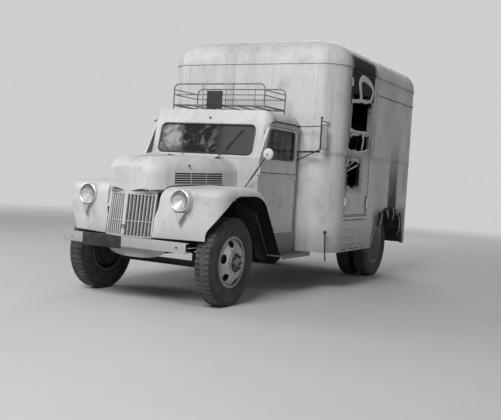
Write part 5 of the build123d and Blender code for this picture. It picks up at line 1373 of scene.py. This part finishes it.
class TRUCK_OT_box_trim(bpy.types.Operator):
    """Makes the clinic box's seam strips with lines of painted shadow beside them, its upper moulding and its rivets"""
    bl_idname = "truck.box_trim"
    bl_label = "Box trim"

    @staticmethod
    def seams():
        """Every upright seam: its place across and along, where it starts, and the way that its wall faces."""
        proud = 0.0015
        front = ((-0.930, 0.500), (0.930, 0.500), (-0.31, 2.16), (0.31, 2.16))
        rows = [(x, BOX_FRONT - proud, low, (0, -1, 0)) for x, low in front]
        stations = {1: ((0.925, 0.490), (2.600, 0.490)), -1: ((0.360, 0.490), (1.230, 1.100), (2.600, 0.490))}
        for sign in SIDES:
            rows += [(sign * (BOX_HALF + proud), y, low, (sign, 0, 0)) for y, low in stations[sign]]
            rows.append((sign * 0.935, BOX_REAR + proud, 0.490, (0, 1, 0)))
        return rows

    def execute(self, context):
        s = sizes()
        strips, rivets, shadows = Shape(), Shape(), Shape()
        width = s.seam_width
        for x, y, foot, normal in self.seams():
            pieces = [(foot, BELT[0]), (BELT[1], SEAM_TOP)] if foot < BELT[0] else [(foot, SEAM_TOP)]
            for low, high in pieces:
                a, b = np.array((x, y, low)), np.array((x, y, high))
                strips.bar(a, b, rounded_section(width, 0.005, 0.0018), reference=normal, bevel=0.05)
                if normal[0]:
                    beside = (0, width / 2 + 0.002, 0)
                    shadows.bar(a + beside, b + beside, rounded_section(0.006, 0.0016, 0.0006), reference=normal)
            z = np.arange(foot + 0.03, SEAM_TOP - 0.02, s.rivet_pitch)
            z = z[(z < BELT_FREE[0]) | (z > BELT_FREE[1])]
            tangent = unit(np.cross(normal, (0, 0, 1)))
            for shift in (-0.30, 0.30):
                places = np.column_stack([np.full(len(z), x), np.full(len(z), y), z])
                places = places + np.asarray(normal) * 0.0015 + tangent * shift * width
                rivets.domes(places, np.tile(normal, (len(z), 1)), s.rivet_radius * 0.8, s.rivet_radius * 0.4)
        for sign in SIDES:
            line = box_line(0.94 if sign > 0 else -0.02, 0.004, sign)
            path = np.column_stack([line, np.full(len(line), 2.582)])
            strips.sweep(path, ring_of(10, 0.007, 0.009))
            # A line of painted shadow under the moulding
            shadows.sweep(path - (0, 0, 0.0125), ring_of(8, 0.003, 0.0042))
            self.rivet_row(rivets, box_line(-0.40, 0.0, sign, 14), 2.772, sign)
            # The lower row leaves out the doors on the left and the wheels' arches on both sides
            line = box_line(0.94 if sign > 0 else -0.40, 0.0, sign, 14)
            line = line[(line[:, 1] < (1.05 if sign > 0 else 1.33)) | (line[:, 1] > 2.50)]
            self.rivet_row(rivets, line, 0.520, sign)
        make_piece("box_strips", strips, "body_paint", "truck")
        make_piece("box_shadow_lines", shadows, "gap_black", "truck", slot="body_paint")
        make_piece("box_rivets", rivets, "body_paint", "truck", edge=80)
        return {"FINISHED"}

    @staticmethod
    def rivet_row(rivets, line, level, sign):
        """Rivets at one height on the points of a line: they face straight out on the side's flat sheet, and away
        from a place near the box's middle on its corners."""
        outward = unit(np.column_stack([line, np.zeros(len(line))]) - (0, 1.2, 0))
        outward[np.abs(np.abs(line[:, 0]) - BOX_HALF) < 0.001] = (sign, 0, 0)
        radius = sizes().rivet_radius
        rivets.domes(np.column_stack([line, np.full(len(line), level)]), outward, radius, radius * 0.5)


# Torn sheet on the left wall. Each strip has the points of its path, as places out from the wall, along the truck and
# up, then its width and thickness, how much it narrows, how much its width varies and that noise's seed.
WINDOW_STRIPS = (
    ([(0.004, 0.405, 2.440), (0.008, 0.355, 2.540), (0.007, 0.320, 2.635), (0.004, 0.380, 2.705),
      (0.004, 0.500, 2.715), (0.005, 0.650, 2.690), (0.008, 0.775, 2.640), (0.008, 0.822, 2.570),
      (0.005, 0.780, 2.490), (0.004, 0.735, 2.440)], 0.088, 0.0024, 0.45, 0.10, 3),
    ([(0.001, 0.095, 2.385), (0.006, 0.200, 2.398), (0.003, 0.330, 2.412), (0.008, 0.450, 2.426),
      (0.004, 0.560, 2.420), (0.006, 0.745, 2.455)], 0.046, 0.0022, 0.2, 0.34, 5),
    ([(0.003, 0.075, 2.030), (0.006, 0.226, 2.020), (0.003, 0.410, 2.018), (0.007, 0.598, 2.028),
      (0.003, 0.760, 2.035)], 0.034, 0.0022, 0.3, 0.40, 8),
    ([(0.003, 0.534, 2.020), (0.008, 0.560, 1.930), (0.004, 0.556, 1.860), (0.002, 0.535, 1.800)],
     0.050, 0.0022, 0.3, 0.20, 9),
    ([(0.002, 0.130, 1.950), (0.004, 0.220, 1.985), (0.003, 0.300, 1.968)], 0.032, 0.0022, 0.5, 0.30, 10),
    ([(0.002, 0.050, 1.775), (0.004, 0.250, 1.758), (0.003, 0.480, 1.768), (0.004, 0.700, 1.796),
      (0.002, 0.830, 1.820)], 0.026, 0.0022, 0.2, 0.45, 12),
    ([(0.003, 0.850, 2.440), (0.006, 0.860, 2.250), (0.004, 0.862, 2.050), (0.002, 0.837, 1.930)],
     0.016, 0.002, 0.3, 0.35, 14),
    ([(0.003, 0.818, 2.440), (0.006, 0.828, 2.250), (0.004, 0.812, 2.050), (0.002, 0.787, 1.930)],
     0.016, 0.002, 0.3, 0.35, 15),
)
LOWER_STRIPS = (
    ([(0.002, 0.170, 1.652), (0.005, 0.300, 1.664), (0.004, 0.400, 1.650), (0.003, 0.450, 1.618)],
     0.030, 0.0022, 0.4, 0.35, 21),
    ([(0.002, 0.530, 1.545), (0.004, 0.548, 1.460), (0.002, 0.535, 1.375)], 0.016, 0.0022, 0.4, 0.3, 22),
)
ARCH_FLAPS = (
    ([(0.002, 1.100, 0.470), (0.012, 1.160, 0.600), (0.016, 1.225, 0.740), (0.008, 1.300, 0.880),
      (0.002, 1.370, 0.975)], 0.036, 0.0022, 0.5, 0.35, 41),
    ([(0.002, 1.545, 0.960), (0.016, 1.500, 0.880), (0.022, 1.430, 0.790), (0.016, 1.440, 0.680),
      (0.008, 1.480, 0.590)], 0.051, 0.0022, 0.5, 0.35, 42),
    ([(0.002, 1.720, 1.010), (0.012, 1.760, 0.950), (0.020, 1.790, 0.880)], 0.054, 0.0022, 0.5, 0.35, 43),
    ([(0.002, 1.980, 1.030), (0.014, 2.020, 0.975), (0.022, 2.000, 0.900), (0.014, 1.965, 0.840)],
     0.042, 0.0022, 0.5, 0.35, 44),
    ([(0.002, 2.180, 0.930), (0.016, 2.240, 0.960), (0.020, 2.350, 0.965), (0.012, 2.470, 1.000),
      (0.006, 2.600, 1.028)], 0.0204, 0.0022, 0.5, 0.35, 45),
    ([(0.002, 2.300, 0.920), (0.018, 2.330, 0.800), (0.024, 2.300, 0.690), (0.014, 2.220, 0.600)],
     0.033, 0.0022, 0.5, 0.35, 46),
    ([(0.002, 2.440, 0.900), (0.014, 2.430, 0.780), (0.022, 2.450, 0.680), (0.012, 2.500, 0.600)],
     0.042, 0.0022, 0.5, 0.35, 47),
)
# Where charred teeth stand round the side door's three holes, in millimetres along and up
DOOR_TEETH = (
    [(112, 2030), (250, 2018), (420, 2034), (640, 2020), (782, 2036), (790, 2300), (118, 2440), (116, 2250),
     (200, 2640), (700, 2620)],
    [(66, 1800), (170, 1764), (330, 1786), (430, 1752), (560, 1790), (700, 1768), (822, 1830), (806, 1990)],
    [(76, 1440), (150, 1330), (280, 1286), (420, 1300), (512, 1400), (498, 1560), (420, 1640), (250, 1628),
     (140, 1642), (112, 1560)],
)
# The same round the torn rear arch, in metres, and the place that they point at
ARCH_TEETH = (
    (1.120, 0.520), (1.190, 0.640), (1.262, 0.800), (1.370, 0.985), (1.480, 0.962), (1.600, 1.012), (1.760, 1.040),
    (1.890, 1.018), (2.040, 1.066), (2.170, 1.000), (2.290, 0.935), (2.400, 0.965), (2.438, 0.800), (2.500, 0.690),
)
ARCH_MIDDLE = (1.85, 0.55)


def ribbon(shape, path, width, thickness, taper, wobble, seed):
    """A torn strip of sheet, its flat side to the wall: a thin section carried along a smooth path, its width
    varied by a seeded noise and narrowed towards its tip."""
    line = smooth_line(path, 7)
    noise = np.random.default_rng(seed).uniform(-1, 1, len(line))
    share = np.linspace(0, 1, len(line))
    scale = (1 - taper * share**2) * (1 + wobble * noise)
    return shape.sweep(line, rounded_section(width, thickness, thickness * 0.4, 2), (1, 0, 0), scale)


def wall_ribbons(shape, strips):
    """A ribbon for each row of a table, with its path laid on the left wall."""
    for path, *form in strips:
        ribbon(shape, [(BOX_HALF + out, y, z) for out, y, z in path], *form)
    return shape


def tooth(shape, root, middle, rng, reaches, lifts, widths, bend, seed):
    """A charred tooth from its root on the torn edge towards the hole's middle: halfway along its reach it stands
    off the wall by the bend's share of its lift, and at its tip by all of it."""
    step = np.array((0, *unit(np.subtract(middle, root[1:]))))
    root = np.array(root)
    reach, lift = rng.uniform(*reaches), rng.uniform(*lifts)
    path = [root - 0.008 * step, root + 0.5 * reach * step + (bend * lift, 0, 0), root + reach * step + (lift, 0, 0)]
    ribbon(shape, path, rng.uniform(*widths), 0.0018, 0.8, 0.25, seed)


class TRUCK_OT_damage(bpy.types.Operator):
    """Makes the torn strips, bent bars, curled flaps and charred teeth of the burnt left side, and the hanging rod"""
    bl_idname = "truck.damage"
    bl_label = "Damage"

    def execute(self, context):
        make_piece("torn_window_strips", wall_ribbons(Shape(), WINDOW_STRIPS), "torn_metal", "side_door",
                   slot="body_paint", edge=60)
        self.lower_strips()
        self.torn_edges()
        make_piece("torn_arch_flaps", wall_ribbons(Shape(), ARCH_FLAPS), "scorched_metal", "truck",
                   slot="body_paint", edge=60)
        self.arch_edges()
        rod = [(1.178, -0.338, 0.725), (1.184, -0.342, 0.640), (1.192, -0.340, 0.500), (1.202, -0.338, 0.387)]
        rod = Shape().tube(smooth_line(rod), 0.0105, 14, reference=(1, 0, 0))
        rod.turned([(-0.012, 0), (-0.010, 0.022), (0.010, 0.022), (0.012, 0)], (1.176, -0.330, 0.735), (0.3, 1, 0), 20)
        make_piece("hanging_rod", rod, "exhaust_steel", "truck")
        return {"FINISHED"}

    @staticmethod
    def lower_strips():
        """Two bent bars across the lower hole and the pale sheet round its top."""
        bars = Shape()
        wall = np.array((BOX_HALF, 0, 0))
        for start, end, width in (
            ((-0.006, 0.066, 1.500), (0.006, 0.410, 1.592), 0.020),
            ((-0.010, 0.074, 1.540), (0.003, 0.275, 1.636), 0.013),
        ):
            bars.bar(wall + start, wall + end, rounded_section(width, 0.006, 0.002), (1, 0, 0))
        wall_ribbons(bars, LOWER_STRIPS)
        make_piece("lower_hole_strips", bars, "torn_metal", "side_door", slot="body_paint", edge=60)

    @staticmethod
    def torn_edges():
        """Charred teeth that stand into each hole of the side door."""
        rng = np.random.default_rng(11)
        teeth = Shape()
        for corners in DOOR_TEETH:
            middle = np.mean(corners, 0) / 1000
            for y, z in corners:
                tooth(teeth, (BOX_HALF - 0.002, y / 1000, z / 1000), middle, rng, (0.020, 0.055), (-0.014, 0.012),
                      (0.026, 0.060), 0.5, y + z)
        make_piece("torn_edges", teeth, "burnt_metal", "side_door", slot="body_paint", edge=60)

    @staticmethod
    def arch_edges():
        """Charred teeth round the torn opening over the left rear wheels."""
        rng = np.random.default_rng(29)
        teeth = Shape()
        for y, z in ARCH_TEETH:
            tooth(teeth, (BOX_HALF - 0.004, y, z), ARCH_MIDDLE, rng, (0.030, 0.085), (-0.024, 0.018),
                  (0.035, 0.095), 0.4, int(1000 * y))
        make_piece("charred_arch_edges", teeth, "burnt_metal", "truck", slot="body_paint", edge=60)


def upright_frame(shape, corners, place, section, normal, foot, stops, top):
    """A flat frame of bars: one at each side in two lengths, with room for the belt between them, and one along the
    top and the foot. place gives the point for a corner and a height."""
    for corner in corners:
        for low, high in ((foot, BELT_FREE[0]), (BELT_FREE[1], stops)):
            shape.bar(place(corner, low), place(corner, high), section, normal, 0.05)
    for level in (foot, top):
        shape.bar(place(corners[0], level), place(corners[1], level), section, normal, 0.05)
    return shape


class TRUCK_OT_door_trim(bpy.types.Operator):
    """Makes the side door's edging, painted shade in the gap round it, and its lock, the step flap's ribs, the rear
    doors' edging and window rubbers, and the rear step"""
    bl_idname = "truck.door_trim"
    bl_label = "Door trim"

    def execute(self, context):
        wall = BOX_HALF
        # The side door's edging is painted shade in the gap round the door
        edging = upright_frame(Shape(), (0.066, 0.868), lambda y, z: (wall + 0.0006, y, z),
                               rounded_section(0.0075, 0.0024, 0.0009), (1, 0, 0), 0.948, 2.725, 2.728)
        make_piece("side_door_gap_shade", edging, "gap_black", "side_door", slot="body_paint")
        plates = Shape().block((wall + 0.002, 0.815, 1.100), (0.005, 0.046, 0.190), 0.0015)
        plates.turned(stub(0, 0.011, 0.008, 0.010, 0.007), (wall + 0.001, 0.815, 0.985), (1, 0, 0), 20)
        make_piece("side_door_lock", plates, "mirror_black", "side_door")
        for name, finish, x, ends, levels, section in (
            ("step_flap_ribs", "body_paint", wall + 0.0015, (0.110, 0.825), (0.590, 0.690, 0.790),
             ring_of(10, 0.012, 0.005)),
            ("step_flap_tread", "underside_paint", wall - 0.0415, (0.095, 0.840), np.linspace(0.540, 0.850, 9),
             ring_of(8, 0.006, 0.003)),
        ):
            ribs = Shape()
            for z in levels:
                ribs.bar((x, ends[0], z), (x, ends[1], z), section, (1, 0, 0), 0.3)
            make_piece(name, ribs, finish, "step_flap")
        for sign, side in SIDES.items():
            body = f"rear_door_{side}"
            path = framed(window_path(0.478, 0.428, 0.052), (sign * 0.450, BOX_REAR, 2.080), (1, 0, 0), (0, 0, 1),
                          (0, 1, 0), 0.001)
            rim = Shape().sweep(path, ring_of(10, 0.010, 0.006), reference=(0, 1, 0), closed=True)
            make_piece(f"rear_window_rubber_{side}", rim, "black_plastic", body)
            edging = upright_frame(Shape(), (sign * 0.030, sign * 0.868), lambda x, z: (x, BOX_REAR + 0.001, z),
                                   rounded_section(0.016, 0.004, 0.0015), (0, 1, 0), 0.950, 2.675, 2.678)
            make_piece(f"rear_door_edging_{side}", edging, "body_paint", body)
        step = Shape().block((0.0, 2.690, 0.500), (1.30, 0.140, 0.030), 0.008)
        for x in (-0.40, 0.40):
            step.bar((x, 2.660, 0.500), (x, 2.600, 0.640), rounded_section(0.040, 0.012, 0.004), (1, 0, 0))
        make_piece("rear_step", step, "underside_paint", "truck")
        return {"FINISHED"}


class TRUCK_OT_underbody(bpy.types.Operator):
    """Makes the running boards' ribs, the rivets of the frame and the fuel tank"""
    bl_idname = "truck.underbody"
    bl_label = "Underbody"

    def execute(self, context):
        ribs, rivets = Shape(), Shape()
        section = ring_of(8, 0.006, 0.003)
        for sign in SIDES:
            for x in np.linspace(0.835, 0.975, 6):
                ribs.bar((sign * x, -1.080, 0.4805), (sign * x, -0.365, 0.4805), section, (0, 0, 1), 0.3)
            for y in (-2.52, -2.10, -1.30, -0.88, 0.06, 1.18, 2.56):
                places = [(sign * 0.432, y + dy, z) for dy in (-0.02, 0.02) for z in (0.610, 0.650)]
                rivets.domes(places, [(sign, 0, 0)] * 4, 0.009, 0.006)
        make_piece("board_ribs", ribs, "tyre_rubber", "truck")
        make_piece("frame_rivets", rivets, "underside_paint", "truck", edge=80)
        tank = Shape().block((-0.620, 0.350, 0.600), (0.300, 0.620, 0.200), 0.050)
        make_piece("fuel_tank", tank, "underside_paint", "truck")
        return {"FINISHED"}


class TRUCK_OT_paintwork(bpy.types.Operator):
    """Gives every solid of the truck its worn finish"""
    bl_idname = "truck.paintwork"
    bl_label = "Paintwork"

    def execute(self, context):
        FINISHES.update(make_finishes())
        for row in frame["record"]["subparts"]:
            mesh = NODES[row["node"]].data
            mesh.materials.clear()
            mesh.materials.append(FINISHES[NODE_FINISHES.get(row["node"], row["material_slot"])])
        return {"FINISHED"}


# Stage

CAMERA_PLACE = (4.848, -9.068, 1.383)
CAMERA_YAW, CAMERA_PITCH, CAMERA_ROLL = (np.radians(a) for a in (28.399, -2.593, 3.497))


class TRUCK_OT_stage(bpy.types.Operator):
    """Makes the pale floor, the soft lamps, the even light and the camera"""
    bl_idname = "truck.stage"
    bl_label = "Stage"

    def lamp(self, name, place, target, size, power):
        """A round soft lamp that looks from its place at its target."""
        data = bpy.data.lights.new(name, "AREA")
        data.shape = "DISK"
        data.size = size
        data.energy = power
        back = unit(np.subtract(place, target))
        across = unit(np.cross((0, 0, 1), back))
        self.stand(name, data, place, across, np.cross(back, across), back)

    @staticmethod
    def stand(name, data, place, right, up, back):
        """Puts a lamp or camera at a place, turned to its three directions."""
        turn = np.eye(4)
        turn[:3] = np.column_stack([right, up, back, place])
        item = bpy.data.objects.new(name, data)
        item.matrix_world = Matrix(turn.tolist())
        bpy.context.scene.collection.objects.link(item)
        return item

    def execute(self, context):
        s = context.scene.stage_settings
        self.camera(s)
        context.scene.view_settings.view_transform = "Standard"
        self.floor(s)
        self.lamp("key", (1.4, -10.5, 8.5), (0, -0.5, 1.4), 5.0, s.key_power)
        self.lamp("fill_right", (-9.0, -4.0, 5.0), (0, 0, 1.4), 6.0, s.fill_power)
        self.lamp("fill_left", (10.0, 3.0, 5.5), (0, 0.5, 1.4), 6.0, 0.12 * s.fill_power)
        self.lamp("rear", (-3.0, 10.0, 6.0), (0, 1, 1.4), 6.0, s.fill_power)
        self.world(s)
        return {"FINISHED"}

    def camera(self, s):
        """The fitted camera: its yaw and pitch aim it, and its roll turns its level and upright directions."""
        yaw, pitch, roll = CAMERA_YAW, CAMERA_PITCH, CAMERA_ROLL
        forward = np.array((-np.sin(yaw) * np.cos(pitch), np.cos(yaw) * np.cos(pitch), np.sin(pitch)))
        level = np.array((np.cos(yaw), np.sin(yaw), 0))
        upright = np.cross(level, forward)
        right = np.cos(roll) * level + np.sin(roll) * upright
        up = -np.sin(roll) * level + np.cos(roll) * upright
        camera_data = bpy.data.cameras.new("camera")
        camera_data.lens = s.lens
        camera_data.sensor_fit = "HORIZONTAL"
        camera_data.sensor_width = 36.0
        camera_data.clip_end = 200.0
        bpy.context.scene.camera = self.stand("camera", camera_data, CAMERA_PLACE, right, up, -forward)

    @staticmethod
    def floor(s):
        """A wide round floor that glows in the backdrop's colour far out, where only camera, mirror and glass
        see it."""
        disc = Shape().turned([(0, ring) for ring in np.linspace(0, 60, 7)], (0, 0, 0), (0, 0, 1), 64)
        mesh = bpy.data.meshes.new("floor")
        mesh.from_pydata(np.concatenate(disc.points).tolist(), [], np.concatenate(disc.faces).tolist())
        finish = Finish("floor", Metallic=0.0)
        cloud = finish.noise(0.8, 5)
        grain = finish.noise(40, 4)
        finish.feed(
            Base_Color=finish.blend(cloud, s.floor, [0.86 * v for v in s.floor]), Roughness=0.82 + 0.1 * grain,
            Normal=finish.bump(grain, 0.002, 0.3),
        )
        seen = finish.add("ShaderNodeLightPath", output="Is Camera Ray")
        for ray in ("Is Glossy Ray", "Is Transmission Ray"):
            seen = seen.either(finish.add("ShaderNodeLightPath", output=ray))
        finish.glow(s.sky, seen * ((finish.x**2 + finish.y**2) ** 0.5).rise(7.0, 18.0))
        mesh.materials.append(finish.material)
        floor = bpy.data.objects.new("floor", mesh)
        bpy.context.scene.collection.objects.link(floor)

    @staticmethod
    def world(s):
        """Even light, with the backdrop's colour for what camera, mirror and glass see."""
        world = bpy.data.worlds.new("studio")
        world.use_nodes = True
        tree = world.node_tree
        tree.nodes.clear()
        output = tree.nodes.new("ShaderNodeOutputWorld")
        mix = tree.nodes.new("ShaderNodeMixShader")
        for socket, tint, strength in ((1, (1, 1, 1), s.world_light), (2, s.sky, 1.0)):
            background = tree.nodes.new("ShaderNodeBackground")
            background.inputs["Color"].default_value = (*tint, 1)
            background.inputs["Strength"].default_value = strength
            tree.links.new(background.outputs["Background"], mix.inputs[socket])
        path = tree.nodes.new("ShaderNodeLightPath")
        seen = path.outputs["Is Camera Ray"]
        for ray in ("Is Transmission Ray", "Is Glossy Ray"):
            either = tree.nodes.new("ShaderNodeMath")
            either.operation = "MAXIMUM"
            tree.links.new(seen, either.inputs[0])
            tree.links.new(path.outputs[ray], either.inputs[1])
            seen = either.outputs[0]
        tree.links.new(seen, mix.inputs["Fac"])
        tree.links.new(mix.outputs["Shader"], output.inputs["Surface"])
        bpy.context.scene.world = world


class TRUCK_PT_panel(bpy.types.Panel):
    """Lists the truck's pieces, sizes and colours"""
    bl_idname = "TRUCK_PT_panel"
    bl_label = "Ambulance truck"
    bl_space_type = "VIEW_3D"
    bl_region_type = "UI"
    bl_category = "Truck"

    def draw(self, context):
        for operator in OPERATORS:
            self.layout.operator(operator.bl_idname)
        for group in (context.scene.truck_sizes, context.scene.truck_colours, context.scene.stage_settings):
            for name in type(group).__annotations__:
                self.layout.prop(group, name)


GROUPS = {"truck_sizes": TruckSizes, "truck_colours": TruckColours, "stage_settings": StageSettings}
OPERATORS = (
    TRUCK_OT_stage, TRUCK_OT_paintwork, TRUCK_OT_tyres, TRUCK_OT_wheel_trim, TRUCK_OT_hood_trim,
    TRUCK_OT_grille_trim, TRUCK_OT_lamps, TRUCK_OT_bumper_trim, TRUCK_OT_cab_trim, TRUCK_OT_cab_inside,
    TRUCK_OT_mirrors, TRUCK_OT_box_trim, TRUCK_OT_damage, TRUCK_OT_door_trim, TRUCK_OT_underbody,
)


def register():
    for name, group in GROUPS.items():
        bpy.utils.register_class(group)
        setattr(bpy.types.Scene, name, PointerProperty(type=group))
    for operator in OPERATORS:
        bpy.utils.register_class(operator)
    bpy.utils.register_class(TRUCK_PT_panel)


def unregister():
    bpy.utils.unregister_class(TRUCK_PT_panel)
    for operator in reversed(OPERATORS):
        bpy.utils.unregister_class(operator)
    for name, group in GROUPS.items():
        delattr(bpy.types.Scene, name)
        bpy.utils.unregister_class(group)


def main():
    """Registers everything and runs each operator in order."""
    register()
    for operator in OPERATORS:
        group, name = operator.bl_idname.split(".")
        getattr(getattr(bpy.ops, group), name)()


if __name__ == "__main__":
    main()
